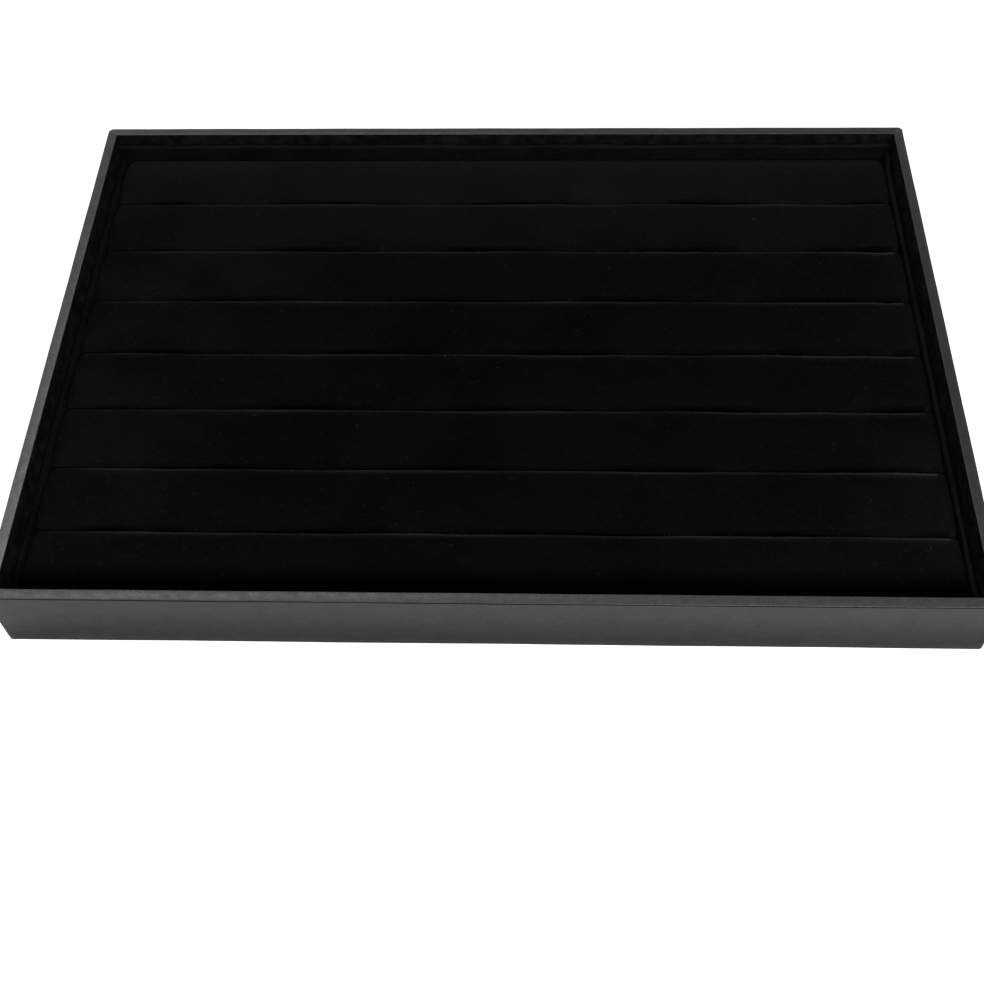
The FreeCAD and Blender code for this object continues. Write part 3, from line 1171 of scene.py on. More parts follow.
    def sweep(self, side: Side, section: LeatherSection, ripple: Ripple, shares: np.ndarray,
              corners: tuple[bool, bool] = (True, True), mitre: bool = False) -> np.ndarray:
        """Sweep a section along one wall.

        Args:
            side: the wall.
            section: the closed section.
            ripple: unevenness of its shown side.
            shares: places along the straight stretch.
            corners: whether the half corner at the start and at the end is taken along.
            mitre: whether the ends roll over at the mitres.

        Returns:
            Places of the vertices, by point of the section and by column.
        """
        half, _ = self.path.halves(side)
        count = self.path.count(shares, corners)
        normals = outward_normals(section.shown)
        slant_in, slant_up = self.ripple_slants
        rows = []
        for number, (inset, height) in enumerate(section.points):
            insets = np.full(count, inset)
            heights = np.full(count, height)
            if number < len(section.shown):
                flat = self.path.flat(side, insets, shares, corners)
                raised = ripple.at(flat[:, 0] + slant_in * inset + slant_up * height)
                if mitre:
                    gap = (half - np.abs(flat[:, 0]) - flat[:, 1]) / math.sqrt(2)
                    near = np.clip(1 - gap / self.mitre_rounding, 0, 1)
                    raised = raised * (1 - near) - self.mitre_rounding * (1 - np.sqrt(1 - near ** 2))
                insets = insets + normals[number, 0] * raised
                heights = heights + normals[number, 1] * raised
            flat = self.path.flat(side, insets, shares, corners)
            rows.append(np.column_stack((self.path.place(side, flat), heights)))
        return np.array(rows)

    def shine(self, points: np.ndarray) -> np.ndarray:
        """Painted highlights along the mitres.

        Args:
            points: places in the tray's frame.

        Returns:
            One share for each place.
        """
        from_side = self.path.half_length - np.abs(points[..., 0])
        from_end = self.path.half_width - np.abs(points[..., 1])
        gap = np.abs(from_side - from_end) / math.sqrt(2)
        return self.mitre_shine * np.exp(-(gap / self.mitre_reach) ** 2)

    def finish_leather(self, name: str, node: str, points: np.ndarray, section: LeatherSection,
                       highlights: np.ndarray, material: Material) -> None:
        """Turn swept points into a finished leatherette piece.

        Args:
            name: name of the piece.
            node: CAD node that the piece stands for.
            points: places of the vertices, by point of the section and by column.
            section: the section that was swept.
            highlights: painted highlight of each vertex, where the section takes it.
            material: its finish.
        """
        piece = make_piece(name, points, tube_faces(*points.shape[:2]))
        paint_light(piece, section.painted_light[:, None] + section.highlight_share[:, None] * highlights)
        tidy_mesh(piece)
        give_finish(piece, material)
        hand_in(piece, TRAY, node)

    def build_rim(self) -> None:
        """Four strips over the rim, mitred at the corners."""
        section = self.rim_section()
        for side in Side:
            points = self.sweep(side, section, self.rim_ripple, self.path.shares(side), mitre=True)
            highlights = self.rim_highlights[side].at(points, self.path) + self.shine(points)
            length = 2 * self.path.halves(side)[0]
            self.finish_leather(
                f"{side.label}_rim_leather", f"{side.label}_rim_wrap", points, section, highlights,
                self.wardrobe.rim,
            )

    def build_band(self) -> None:
        """One band round all the walls, from one side of the seam at the back to the other."""
        section = self.band_section()
        back = self.path.shares(Side.BACK)
        gap = self.seam_gap / (4 * self.path.half_length)
        first = np.append(0.5 + gap, back[back > 0.5 + gap])
        last = np.append(back[back < 0.5 - gap], 0.5 - gap)
        runs = [self.sweep(Side.BACK, section, self.band_ripple, first, (False, True))]
        for side in (Side.LEFT, Side.FRONT, Side.RIGHT):
            runs.append(self.sweep(side, section, self.band_ripple, self.path.shares(side)))
        runs.append(self.sweep(Side.BACK, section, self.band_ripple, last, (True, False)))
        points = np.concatenate([runs[0]] + [run[:, 1:] for run in runs[1:]], axis=1)
        highlights = sum(corner_light.at(points, self.path) for corner_light in self.band_highlights)
        self.finish_leather(
            "band_leather", "outer_wrap", points, section, highlights, self.wardrobe.band
        )

    def dress_nodes(self) -> None:
        """Finishes of the rails and the base."""
        finishes = {f"{side.label}_rail": self.wardrobe.fibreboard for side in Side}
        finishes["base_board"] = self.wardrobe.fibreboard
        finishes["floor_lining"] = self.wardrobe.floor_paper
        finishes["base_cover"] = self.wardrobe.base_paper
        for node, material in finishes.items():
            give_finish(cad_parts[node], material)

    def build(self) -> None:
        """Every piece of the walls and the base."""
        self.build_rim()
        self.build_band()
        self.dress_nodes()


# Liners

@dataclass
class Liner:
    """Velvet folded over the card that stands inside one wall."""

    wardrobe: Wardrobe
    side: Side
    number: int
    step: float = 0.002
    round_steps: int = 16
    wall_steps: int = 6
    top_ripple: Ripple = Ripple(40, 0.0004, (0.07, 0.024, 0.009))
    face_ripple: Ripple = Ripple(50, 0.0003, (0.07, 0.024, 0.009))
    crest_ripple: Ripple = Ripple(60, 0.5, (0.09, 0.03, 0.012))
    # Strength of the painted highlight on each liner's crest, by how the light falls on that side.
    crest_shares: dict[Side, float] = field(default_factory=lambda: {
        Side.FRONT: 0.6, Side.RIGHT: 1.3, Side.BACK: 0.7, Side.LEFT: 0.12,
    })
    corner_rises: dict[Side, float] = field(default_factory=lambda: {Side.RIGHT: 0.003})
    corner_reach: float = 0.014
    fringe: Fibres = field(default_factory=lambda: Fibres(
        Ground.LINES,
        {"Length": 0.0005, "Width": 0.00006, "Spacing": 0.0004, "Scatter": 0.0004, "Lean": 1.0, "Bend": 0.5},
        seed=301,
    ))

    def __post_init__(self) -> None:
        """Read the liner's sizes from the frame."""
        self.node = f"{self.side.label}_liner_velvet"
        self.card_node = f"{self.side.label}_liner_card"
        self.low, self.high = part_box(self.node)
        card_low, card_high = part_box(self.card_node)
        self.axis = 0 if self.side.is_long else 1
        self.across = 1 - self.axis
        self.thickness = self.high[self.across] - self.low[self.across]
        self.card = card_high[self.across] - card_low[self.across]
        self.card_top = card_high.z
        self.length = self.high[self.axis] - self.low[self.axis]
        self.places = np.linspace(self.low[self.axis], self.high[self.axis], int(self.length / self.step))

    def outside(self) -> np.ndarray:
        """Shown side of the section, up the wall, over the fold and down again.

        Returns:
            Points as distance across and height.
        """
        half = self.thickness / 2
        eaves = self.high.z - half
        rise = np.linspace(self.low.z, eaves, self.wall_steps + 1)[:-1]
        fold = arc((0.0, eaves), half, 180, 0, self.round_steps)
        return np.vstack((upright(-half, rise), fold, upright(half, rise[::-1])))

    def inside(self) -> np.ndarray:
        """Hidden side of the section, round the card, as distance across and height."""
        half, low, top = self.card / 2, self.low.z, self.card_top
        return np.array([(half, low), (half, top), (-half, top), (-half, low)])

    def sweep(self, section: np.ndarray, shown: np.ndarray) -> np.ndarray:
        """Sweep the section along the wall, with a wavy fold and a wavy face.

        Args:
            section: points of the closed section.
            shown: whether each of them lies outside.

        Returns:
            Places of the vertices, by point of the section and by place along the wall.
        """
        low, high, thickness = self.low, self.high, self.thickness
        offsets, heights = section.T
        top_wave = self.top_ripple.at(self.places, self.number)
        rise = self.corner_rises.get(self.side, 0.0)
        top_wave += rise * smooth_step((self.places - high[self.axis]) / self.corner_reach + 1)
        top_wave = np.maximum(top_wave, -self.top_ripple.height / 2)
        face_wave = self.face_ripple.at(self.places, self.number)
        lift = (heights - low.z) / (high.z - low.z)
        fold = shown * np.clip((heights - (high.z - thickness)) / thickness, 0, 1)
        facing = shown * np.maximum(offsets / (thickness / 2), 0.0)
        middle = (low[self.across] + high[self.across]) / 2
        inward = self.side.inward[self.across]
        points = np.zeros((len(section), len(self.places), 3))
        points[..., self.axis] = self.places
        points[..., self.across] = middle + inward * (offsets[:, None] + np.outer(facing * lift, face_wave))
        points[..., 2] = heights[:, None] + np.outer(fold, top_wave)
        return points

    def crest(self, section: np.ndarray, shown: np.ndarray) -> np.ndarray:
        """Painted highlight of each vertex on the fold's crest, most on its side towards the pad.

        Args:
            section: points of the closed section.
            shown: whether each of them lies outside.

        Returns:
            One value for each vertex, by point of the section and by place along the wall.
        """
        half = self.thickness / 2
        fold = np.clip((section[:, 1] - (self.high.z - half)) / half, 0, 1) ** 2
        fold *= shown * smooth_step(0.5 + section[:, 0] / half)
        bright = self.crest_shares[self.side] * (1 + self.crest_ripple.at(self.places, self.number))
        return np.outer(fold, bright)

    def build(self) -> None:
        """The folded velvet with the fringe on its fold, and the finish of the card under it."""
        outside = self.outside()
        section = np.vstack((outside, self.inside()))
        shown = np.arange(len(section)) < len(outside)
        points = self.sweep(section, shown)
        piece = make_piece(f"{self.side.label}_liner_fold", points, tube_faces(*points.shape[:2]))
        paint_light(piece, self.crest(section, shown))
        tidy_mesh(piece)
        give_finish(piece, self.wardrobe.liner_velvet)
        give_finish(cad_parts[self.card_node], self.wardrobe.card)
        hand_in(piece, TRAY, self.node)
        fringe = make_lines(f"{self.side.label}_liner_fringe", [points[len(outside) // 2]])
        self.fringe.grow(fringe, TRAY, self.wardrobe.fringe)


# Ring pad

@dataclass
class PadRow:
    """One line of the cover from end to end: its place across the pad, its height, its part in a slit and
    its painted light.
    """

    across: float
    drop: float
    slit: int
    hold: float = 1.0
    tuck: float = 0.0
    painted_light: float = 0.0


@dataclass
class RingStep:
    """One ring of the cover round its edge.

    It has a reach beyond the inner rectangle, a fall below the crest, a lean of its outward direction from
    upright, in radians, the depth of a pleat there, and the share of the top's relief that is left.
    """

    reach: float
    fall: float
    lean: float
    pleat: float
    relief: float


@dataclass
class RingPad:
    """Board, foam strips and the velvet sheet that is tucked between them."""

    wardrobe: Wardrobe
    step: float = 0.0026
    crown: float = 0.0006
    shoulder: float = 0.0012
    edge_round: float = 0.0026
    corner_round: float = 0.004
    foot_round: float = 0.0008
    least_radius: float = 0.00005
    turn_under: float = 0.0108
    bulge: float = 0.0004
    pleat_depth: float = 0.0026
    pleat_reach: float = 0.012
    flat_relief: float = 0.2
    crown_steps: int = 10
    shoulder_steps: int = 6
    corner_steps: int = 6
    edge_start: float = 12.0
    edge_steps: int = 7
    side_steps: int = 6
    foot_steps: int = 3
    under_steps: int = 3
    foam_corner_steps: int = 7
    foam_length_steps: int = 29
    foam_width_steps: int = 18
    bottom_share: float = 0.3
    tuck_shares: tuple[float, ...] = (0.8, 0.4)
    # Painted highlight on the slits' near lips and painted shade on their far shoulders:
    lip_light_turn: float = math.radians(72)
    lip_light_spread: float = math.radians(32)
    far_shade: float = -0.6
    far_turn: float = math.radians(20)
    far_spread: float = math.radians(60)
    line_share: float = 0.42
    line_tail: float = 0.0007
    tail_light: float = 0.6
    tail_share: float = 1.2
    line_fade: float = 0.025
    faded_share: float = 0.25
    end_glow: float = 0.6
    end_reach: float = 0.03
    # Painted highlight along the pad's back edge and at its right end:
    edge_glow: float = 0.16
    edge_reach: float = 0.006
    end_share: float = 0.35
    front_fade: float = 0.05
    notches: dict[int, float] = field(default_factory=lambda: {3: 0.0005, 4: 0.0007, 5: 0.0006})
    notch_reach: float = 0.005
    slit_ripple: Ripple = Ripple(70, 0.00022, (0.13, 0.05, 0.018))
    gap_ripple: Ripple = Ripple(90, 0.00012, (0.06, 0.022))
    lip_ripple: Ripple = Ripple(110, 0.00016, (0.05, 0.02, 0.008))
    line_ripple: Ripple = Ripple(130, 0.6, (0.1, 0.034, 0.011, 0.006))
    shade_ripple: Ripple = Ripple(150, 0.9, (0.08, 0.025, 0.009, 0.006))
    fringe: Fibres = field(default_factory=lambda: Fibres(
        Ground.LINES,
        {"Length": 0.0007, "Width": 0.00007, "Spacing": 0.0006, "Scatter": 0.0003, "Lean": 0.9, "Bend": 0.5},
        seed=211,
        least_size=0.25,
    ))
    lint: Fibres = field(default_factory=lambda: Fibres(
        Ground.SURFACE,
        {"Length": 0.0011, "Width": 0.00009, "Spacing": 0.011, "Scatter": 0.0, "Lean": 0.25, "Bend": 0.8},
        seed=223,
    ))

    def __post_init__(self) -> None:
        """Read the pad's sizes from the frame."""
        self.low, self.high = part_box("velvet_cover")
        self.strips = sorted(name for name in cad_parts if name.startswith("foam_strip_"))
        self.boxes = [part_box(name) for name in self.strips]
        self.slits = len(self.boxes) - 1
        self.velvet = self.boxes[0][0].y - self.low.y
        self.half_strip = (self.boxes[0][1].y - self.boxes[0][0].y) / 2 + self.velvet
        self.half_crown = self.half_strip - self.shoulder
        self.eave = -self.crown * (self.half_crown / self.half_strip) ** 2
        self.slit_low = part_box("insert_board")[1].z + self.velvet
        self.gap = self.boxes[1][0].y - self.boxes[0][1].y - 2 * self.velvet
        self.inner_x = self.high.x - self.corner_round
        self.inner_y = self.high.y - self.corner_round

    def rows(self) -> list[PadRow]:
        """Lines of the cover from the front edge to the back, over each strip and into each slit.

        Returns:
            The lines, in order across the pad.
        """
        lines: list[PadRow] = []
        half = self.half_strip
        for number, (low, high) in enumerate(self.boxes):
            middle = (low.y + high.y) / 2
            start = -self.half_crown if number else -self.inner_y - middle
            end = self.half_crown if number < self.slits else self.inner_y - middle
            offsets = np.linspace(start, end, self.crown_steps + 1)
            if number < self.slits:
                offsets = np.insert(offsets, -1, end - self.line_tail)
            if number:
                offsets = np.insert(offsets, 1, start + self.line_tail)
                lines += self.lip(middle - half, number - 1, 1)
            for offset in offsets:
                drop = -self.crown * (offset / half) ** 2
                slit = number - 1 if offset < 0 else number
                hold = smooth_step(np.array(abs(offset) / half * 2 - 1)).item()
                # Painted highlight on the crest just before a slit, and painted shade where a strip starts
                # behind one.
                lip_light = 0.0
                if number < self.slits:
                    lip_light = self.tail_light * max(0.0, 1 - (end - offset) / (self.tail_share * self.line_tail))
                if number and offset == start:
                    lip_light = self.far_shade / 2
                lines.append(PadRow(middle + offset, drop, slit, hold, painted_light=lip_light))
            if number < self.slits:
                lines += self.lip(middle + half, number, -1)[::-1]
        return lines

    def lip(self, wall: float, slit: int, way: int) -> list[PadRow]:
        """Lines from the bottom of a slit up its wall and over the shoulder of a strip.

        Args:
            wall: place of the slit's wall across the pad.
            slit: number of the slit.
            way: 1 where the strip lies behind the wall, -1 where it lies before it.

        Returns:
            The lines, from the slit's bottom upwards.
        """
        foot = self.eave - self.shoulder
        lines = [PadRow(wall - way * self.gap * self.bottom_share, foot, slit, tuck=1.0)]
        lines += [PadRow(wall, foot, slit, tuck=share) for share in self.tuck_shares]
        for turn in np.radians(np.linspace(0, 90, self.shoulder_steps + 1)[:-1]):
            across = wall + way * self.shoulder * (1 - math.cos(turn))
            drop = self.eave - self.shoulder * (1 - math.sin(turn))
            # Painted highlight on the near shoulder, painted shade on the far one.
            if way < 0:
                lip_light = math.exp(-((turn - self.lip_light_turn) / self.lip_light_spread) ** 2)
            else:
                lip_light = self.far_shade * math.exp(-((turn - self.far_turn) / self.far_spread) ** 2)
            lines.append(PadRow(across, drop, slit, painted_light=lip_light))
        return lines

    def place_rows(self, lines: list[PadRow], along: np.ndarray,
                   depth: np.ndarray) -> tuple[np.ndarray, np.ndarray]:
        """Places across and heights of every line at places along the pad.

        Args:
            lines: the cover's lines.
            along: places along the pad.
            depth: depth of a slit below the shoulders, one for each place.

        Returns:
            Places across, and heights below the crest, by line and place.
        """
        shifts, lips = {}, {}
        notch = np.exp(-np.abs(along - self.inner_x + self.notch_reach) / self.notch_reach)
        for slit in range(self.slits):
            gap = self.gap_ripple.at(along, slit) + self.notches.get(slit, 0.0) * notch
            for behind, way in enumerate((-1, 1)):
                shifts[slit, behind] = self.slit_ripple.at(along, slit) + way * gap
                lips[slit, behind] = self.lip_ripple.at(along, 2 * slit + behind)
        across = np.zeros((len(lines), len(along)))
        drop = np.zeros_like(across)
        for number, line in enumerate(lines):
            across[number] = line.across
            drop[number] = line.drop - line.tuck * depth
            if 0 <= line.slit < self.slits and line.hold:
                middle = (self.boxes[line.slit][1].y + self.boxes[line.slit + 1][0].y) / 2
                wall = line.slit, int(line.across > middle)
                across[number] += line.hold * shifts[wall]
                drop[number] += line.hold * lips[wall] * (1 - line.tuck)
        return across, drop

    def top(self, lines: list[PadRow], along: np.ndarray) -> np.ndarray:
        """The cover's top, whose tucks end a crown and a shoulder above the board and run out in pleats.

        Args:
            lines: the cover's lines.
            along: places of the columns.

        Returns:
            Places of the vertices, by line and column.
        """
        full = self.high.z + (self.eave - self.shoulder) - self.crown - self.shoulder - self.slit_low
        near_end = smooth_step((self.inner_x - np.abs(along)) / self.pleat_reach)
        across, drop = self.place_rows(lines, along, self.pleat_depth + (full - self.pleat_depth) * near_end)
        return np.dstack((np.broadcast_to(along, across.shape), across, self.high.z + drop))

    def ring_steps(self) -> list[RingStep]:
        """Steps from the top over the edge, down the side and under the board.

        Returns:
            The steps, from the top down and inwards.
        """
        corner, edge, foot = self.corner_round, self.edge_round, self.foot_round
        side = self.high.z - self.low.z
        foam = side - (self.slit_low - self.low.z)
        steps = []
        for turn in np.radians(np.linspace(self.edge_start, 90, self.edge_steps + 1)):
            reach = corner - edge + (edge + self.bulge) * math.sin(turn)
            steps.append(RingStep(reach, edge * (1 - math.cos(turn)), turn, self.pleat_depth, 1.0))
        for left in np.linspace(1, 0, self.side_steps + 1)[1:]:
            fall = side - foot - left * (side - foot - edge)
            loose = min(max((foam - fall) / (foam - edge), 0.0), 1.0)
            reach = corner + left * self.bulge
            relief = self.flat_relief + (1 - self.flat_relief) * loose
            steps.append(RingStep(reach, fall, math.pi / 2, self.pleat_depth * loose, relief))
        for turn in np.radians(np.linspace(90, 180, self.foot_steps + 1)[1:]):
            reach = corner - foot * (1 - math.sin(turn))
            steps.append(RingStep(reach, side - foot * (1 + math.cos(turn)), turn, 0.0, self.flat_relief))
        for reach in np.linspace(corner - foot, corner - self.turn_under, self.under_steps + 1)[1:]:
            steps.append(RingStep(reach, side, math.pi, 0.0, self.flat_relief))
        return steps

    def ring(self, step: RingStep, lines: list[PadRow], along: np.ndarray) -> np.ndarray:
        """One ring of vertices round the top, with a fan at each corner.

        Args:
            step: where the ring runs.
            lines: the cover's lines.
            along: places of the columns.

        Returns:
            Places of the vertices, anticlockwise from the front left corner.
        """
        up, out = math.cos(step.lean), math.sin(step.lean)
        ends = np.array([-self.inner_x, self.inner_x])
        across, drop = self.place_rows(lines, ends, np.full(len(ends), step.pleat))
        drop *= step.relief
        radius = max(step.reach, self.least_radius)
        centre_x = self.inner_x + step.reach - radius
        centre_y = self.inner_y + step.reach - radius
        base = drop[0, 0]
        level = self.high.z - step.fall + up * base
        front = np.column_stack((
            along * (centre_x / self.inner_x),
            np.full(len(along), -(centre_y + radius + out * base)),
            np.full(len(along), level),
        ))
        back = front * (1, -1, 1)
        left, right = (
            np.column_stack((
                way * (centre_x + radius + out * drop[:, end]),
                across[:, end] * (centre_y / self.inner_y),
                self.high.z - step.fall + up * drop[:, end],
            ))
            for end, way in enumerate((-1, 1))
        )
        spoke = radius + out * base
        corners = ((front, -90, 1, -1), (right, 0, 1, 1), (back[::-1], 90, -1, 1), (left[::-1], 180, -1, -1))
        ring: list[np.ndarray] = []
        for edge, turn, way_x, way_y in corners:
            fan = arc((way_x * centre_x, way_y * centre_y), spoke, turn, turn + 90, self.corner_steps)[:-1]
            ring += [edge[:-1], np.column_stack((fan, np.full(len(fan), level)))]
        return np.vstack(ring)

    def cover_faces(self, count: int, width: int, rings: int) -> list[Face]:
        """Faces of the cover's top, and of the rings that hang from its border.

        Args:
            count: number of lines.
            width: number of columns.
            rings: number of rings.

        Returns:
            Vertex numbers of each face, with the top's faces first.
        """
        numbers = np.arange(count * width).reshape(count, width)
        faces: list[Face] = []
        for near, far in zip(numbers.tolist(), numbers[1:].tolist()):
            faces += zip(near, near[1:], far[1:], far)
        border: list[int] = []
        for edge in (numbers[0], numbers[:, -1], numbers[-1, ::-1], numbers[::-1, 0]):
            border += edge[:-1].tolist() + [int(edge[-1])] * self.corner_steps
        upper = border
        for number in range(rings):
            first = count * width + number * len(border)
            lower = list(range(first, first + len(border)))
            for here in range(len(border)):
                after = (here + 1) % len(border)
                face = (upper[here], lower[here], lower[after], upper[after])
                faces.append(tuple(dict.fromkeys(face)))
            upper = lower
        return faces

    def painted_lights(self, lines: list[PadRow], along: np.ndarray, points: np.ndarray) -> np.ndarray:
        """Painted light of each vertex of the cover: painted highlights on the slits' near lips, along the
        back edge and at the right end, and painted shade on the far shoulders.

        Args:
            lines: the cover's lines.
            along: places of the columns.
            points: places of all the vertices, with the lines' first.

        Returns:
            One value for each vertex.
        """
        near_back = np.exp((points[:, 1] - self.high.y) / self.edge_reach)
        near_end = np.exp((points[:, 0] - self.high.x) / self.edge_reach)
        near_end *= self.end_share * smooth_step((points[:, 1] - self.low.y) / self.front_fade)
        painted_light = self.edge_glow * np.maximum(near_back, near_end)
        painted_light *= points[:, 2] > self.high.z - self.edge_round
        fade = smooth_step((along + self.inner_x) / self.line_fade)
        fade = self.faded_share + (1 - self.faded_share) * fade
        ends = self.end_glow * np.exp((along - self.inner_x) / self.end_reach)
        for number, line in enumerate(lines):
            if line.painted_light < 0:
                share = (1 + self.shade_ripple.at(along, line.slit)) * fade
            else:
                share = (self.line_share + ends) * (1 + self.line_ripple.at(along, line.slit)) * fade
            painted_light[number * len(along):(number + 1) * len(along)] += line.painted_light * np.maximum(share, 0)
        return painted_light

    def build_fibres(self, lines: list[PadRow], top: np.ndarray, faces: list[Face]) -> list[Piece]:
        """Fringe along the near lip of each slit, and lint on the strips.

        Args:
            lines: the cover's lines.
            top: places of the top's vertices, by line and column.
            faces: faces of the cover, with the top's first.

        Returns:
            The fringe and the lint.
        """
        crests = []
        for slit in range(self.slits):
            near = [number for number, line in enumerate(lines) if line.slit == slit]
            crests.append(top[max(near, key=lambda number: lines[number].painted_light)])
        fringe = self.fringe.grow(make_lines("pad_fringe", crests), RING_PAD, self.wardrobe.fringe)
        top_faces = faces[:(top.shape[0] - 1) * (top.shape[1] - 1)]
        lint = self.lint.grow(make_piece("pad_lint", top, top_faces), RING_PAD, self.wardrobe.lint)
        return [fringe, lint]

    def build_cover(self) -> tuple[Piece, list[Piece]]:
        """The velvet sheet: over the strips, into the slits, down the sides and under the board.

        Returns:
            The finished sheet, and the loose fibres on it.
        """
        lines = self.rows()
        along = np.linspace(-self.inner_x, self.inner_x, int(2 * self.inner_x / self.step))
        top = self.top(lines, along)
        rings = [self.ring(step, lines, along) for step in self.ring_steps()]
        points = np.vstack((top.reshape(-1, 3), *rings))
        faces = self.cover_faces(*top.shape[:2], len(rings))
        cover = make_piece("pad_cover", points, faces)
        paint_light(cover, self.painted_lights(lines, along, points))
        tidy_mesh(cover, closed=False)
        thick = cover.modifiers.new("velvet", "SOLIDIFY")
        thick.thickness = self.velvet
        thick.offset = -1.0
        settle(cover)
        cover.data.shade_smooth()
        give_finish(cover, self.wardrobe.pad_velvet)
        hand_in(cover, RING_PAD, "velvet_cover")
        return cover, self.build_fibres(lines, top, faces)

    def foam_points(self, low: Vector, high: Vector) -> np.ndarray:
        """A foam strip with an arched top and rounded ends, swept from end to end.

        Args:
            low: lowest corner of the strip's box.
            high: its highest corner.

        Returns:
            Places of the vertices, by row across the strip and by station along it.
        """
        outside_y = self.high.y - self.velvet
        rounding = self.edge_round - self.velvet
        corner = self.corner_round - self.velvet
        shoulder = self.shoulder - self.velvet
        inner = high.x - corner
        turns = np.radians(np.linspace(0, 90, self.foam_corner_steps + 1))
        bend = corner * (1 - np.cos(turns))
        straight = np.linspace(-inner, inner, self.foam_length_steps + 1)[1:-1]
        stations = np.concatenate((bend - high.x, straight, high.x - bend[::-1]))
        limit = outside_y - corner + round_rise(stations, high.x, corner)
        across = np.linspace(low.y, high.y, self.foam_width_steps + 1)
        middle, half = (low.y + high.y) / 2, (high.y - low.y) / 2
        crest = high.z - self.crown * ((across - middle) / half) ** 2
        from_wall = half - np.abs(across - middle)
        crest -= shoulder * (1 - np.sqrt(1 - np.clip(1 - from_wall / shoulder, 0, 1) ** 2))
        crest = np.minimum(crest, high.z - rounding + round_rise(across, outside_y, rounding))
        ends = high.z - rounding + round_rise(stations, high.x, rounding)
        rows = [(low.y, np.full(len(stations), low.z))]
        rows += [(place, np.minimum(height, ends)) for place, height in zip(across, crest)]
        rows.append((high.y, np.full(len(stations), low.z)))
        return np.array([
            np.column_stack((stations, np.clip(place, -limit, limit), heights)) for place, heights in rows
        ])

    def build_foam(self) -> None:
        """Eight foam strips under the cover."""
        for name, (low, high) in zip(self.strips, self.boxes):
            points = self.foam_points(low, high)
            piece = make_piece(f"{name}_core", points, tube_faces(*points.shape[:2]))
            tidy_mesh(piece)
            give_finish(piece, self.wardrobe.foam)
            hand_in(piece, RING_PAD, name)

    def build(self) -> None:
        """Every piece of the ring pad."""
        cover, fibres = self.build_cover()
        self.build_foam()
        give_finish(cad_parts["insert_board"], self.wardrobe.card)


# Studio

@dataclass
class PhotoCamera:
    """Camera at the photograph's place, with a focal length in pixels of a square image."""

    place: Place = (0.0160, -0.3427, 0.4261)
    pitch: float = 55.83
    yaw: float = -3.34
    roll: float = 2.38
    focal_pixels: float = 1330.9
    image_side: float = 984.0
    sensor_width: float = 36.0
    near_limit: float = 0.01

    def build(self) -> None:
        """Make the camera and set it as the scene's."""
        pitch, yaw, roll = (math.radians(angle) for angle in (self.pitch, self.yaw, self.roll))
        level_share = math.cos(pitch)
        forward = Vector((math.sin(yaw) * level_share, math.cos(yaw) * level_share, -math.sin(pitch)))
        level = Vector((math.cos(yaw), -math.sin(yaw), 0.0))
        down = forward.cross(level)
        right = math.cos(roll) * level + math.sin(roll) * down
        up = math.sin(roll) * level - math.cos(roll) * down
        lens = bpy.data.cameras.new("photo_camera")
        lens.sensor_width = self.sensor_width
        lens.lens = self.sensor_width * self.focal_pixels / self.image_side
        lens.clip_start = self.near_limit
        camera = bpy.data.objects.new("photo_camera", lens)
        turned = Matrix((right, up, -forward)).transposed().to_4x4()
        camera.matrix_world = Matrix.Translation(self.place) @ turned
        bpy.context.scene.collection.objects.link(camera)
        bpy.context.scene.camera = camera


@dataclass
class SoftBox:
    """A studio lamp with a soft front that looks at the tray."""

    name: str
    place: Place
    width: float
    height: float
    power: float

    def build(self) -> None:
        """Make the lamp."""
        lamp = bpy.data.lights.new(self.name, "AREA")
        lamp.shape = "RECTANGLE"
        lamp.size = self.width
        lamp.size_y = self.height
        lamp.energy = self.power
        holder = bpy.data.objects.new(self.name, lamp)
        holder.location = self.place
        holder.rotation_mode = "QUATERNION"
        holder.rotation_quaternion = (-Vector(self.place)).to_track_quat("-Z", "Y")
        bpy.context.scene.collection.objects.link(holder)


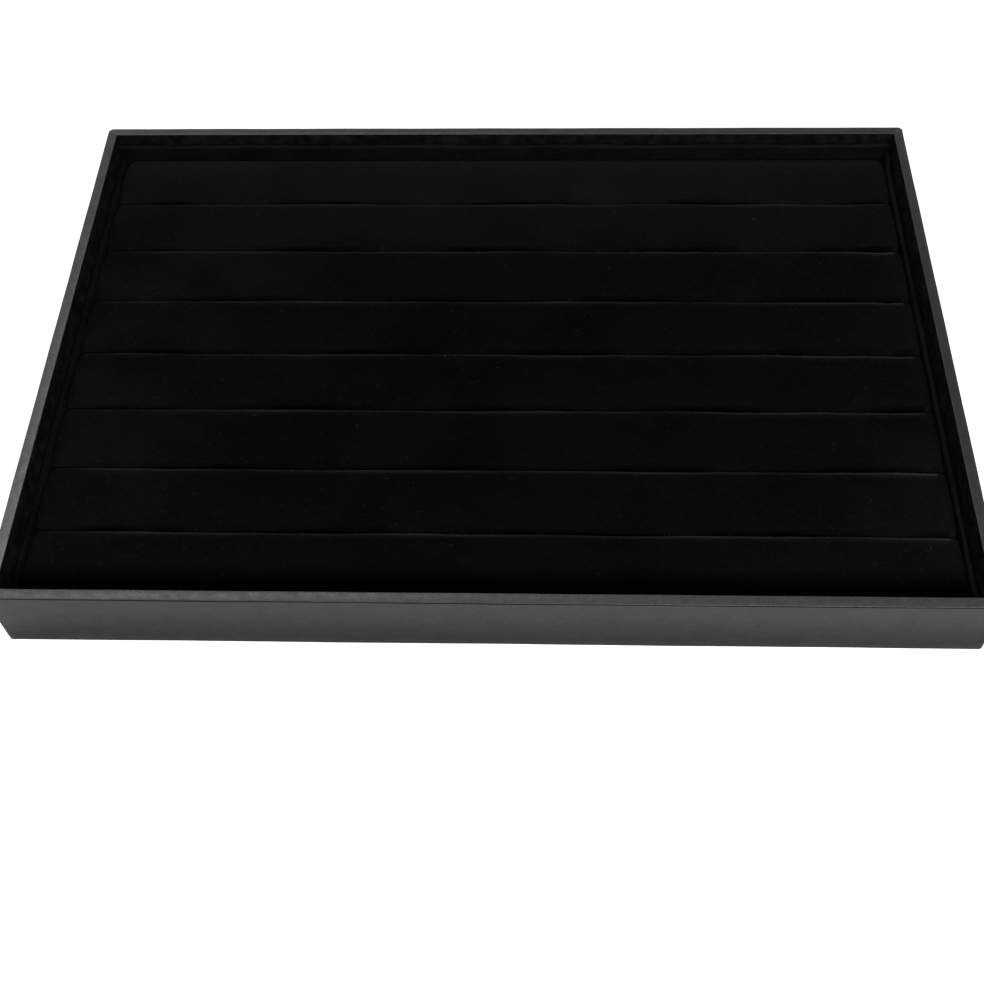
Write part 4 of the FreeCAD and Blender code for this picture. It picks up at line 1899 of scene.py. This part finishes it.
@dataclass
class Studio:
    """White floor, soft lamps and the camera."""

    floor_side: float = 12.0
    floor_colour: Colour = grey(0.8)
    floor_roughness: float = 0.9
    floor_height: float = -0.0001
    floor_lifts: Span = (0.65, 0.95)
    lift_span: Span = (0.5, 2.2)
    mirrored_lift: float = 0.1
    ambient: float = 0.15
    lamps: tuple[SoftBox, ...] = (
        SoftBox("key_lamp", (0.35, -1.12, 0.84), width=0.5, height=0.5, power=22.0),
        SoftBox("top_lamp", (-0.4, 0.5, 1.12), width=0.95, height=0.34, power=6.0),
    )

    def lift_for_rays(self, board: Board, seen: object, mirrored: float, rest: float) -> Socket:
        """Strength of a glow by the kind of ray that meets it.

        Args:
            board: tree that is being wired.
            seen: strength for rays from the camera.
            mirrored: strength for rays from a reflection or through glass.
            rest: strength for all other rays.

        Returns:
            The strength.
        """
        rays = board.add("ShaderNodeLightPath").outputs
        gloss = board.math("MAXIMUM", rays["Is Glossy Ray"], rays["Is Transmission Ray"])
        unseen = board.math("MULTIPLY_ADD", gloss, mirrored - rest, rest)
        lift = board.math("SUBTRACT", seen, rest)
        return board.math("MULTIPLY_ADD", rays["Is Camera Ray"], lift, unseen)

    def build_floor(self) -> None:
        """A pale floor that looks white and keeps the tray's shadow."""
        half = self.floor_side / 2
        corners = [(-half, -half), (half, -half), (half, half), (-half, half)]
        places = np.array([(*corner, self.floor_height) for corner in corners])
        floor = make_piece("floor", places, [(0, 1, 2, 3)])
        finish = Finish("white_floor")
        board = finish.board
        finish.set(Base_Color=self.floor_colour, Roughness=self.floor_roughness)
        away = board.vector("LENGTH", finish.place, output="Value")
        seen = board.ramp(away, self.lift_span, self.floor_lifts)
        strength = self.lift_for_rays(board, seen, self.mirrored_lift, 0.0)
        glow = board.take("ShaderNodeEmission", {"Color": WHITE, "Strength": strength})
        both = board.take("ShaderNodeAddShader", {0: finish.shader.outputs[0], 1: glow})
        output = finish.material.node_tree.nodes["Material Output"]
        board.fill(output.inputs["Surface"], both)
        give_finish(floor, finish.material)

    def build_world(self) -> None:
        """Even light all round, which looks white."""
        world = bpy.data.worlds.new("studio")
        world.use_nodes = True
        bpy.context.scene.world = world
        board = Board(world.node_tree)
        background = world.node_tree.nodes["Background"]
        board.fill(background.inputs["Color"], WHITE)
        board.fill(background.inputs["Strength"], self.lift_for_rays(board, 1.0, 1.0, self.ambient))

    def build(self) -> None:
        """Everything round the tray."""
        bpy.context.scene.view_settings.view_transform = "Standard"
        self.build_floor()
        self.build_world()
        for lamp in self.lamps:
            lamp.build()
        PhotoCamera().build()


def main() -> None:
    """Build the tray's looks, piece by piece."""
    logging.basicConfig(level=logging.INFO, format="%(name)s: %(message)s")
    wardrobe = Wardrobe()
    TrayFrame(wardrobe).build()
    for number, side in enumerate(Side):
        Liner(wardrobe, side, number).build()
    RingPad(wardrobe).build()
    Studio().build()


if __name__ == "__main__":
    main()
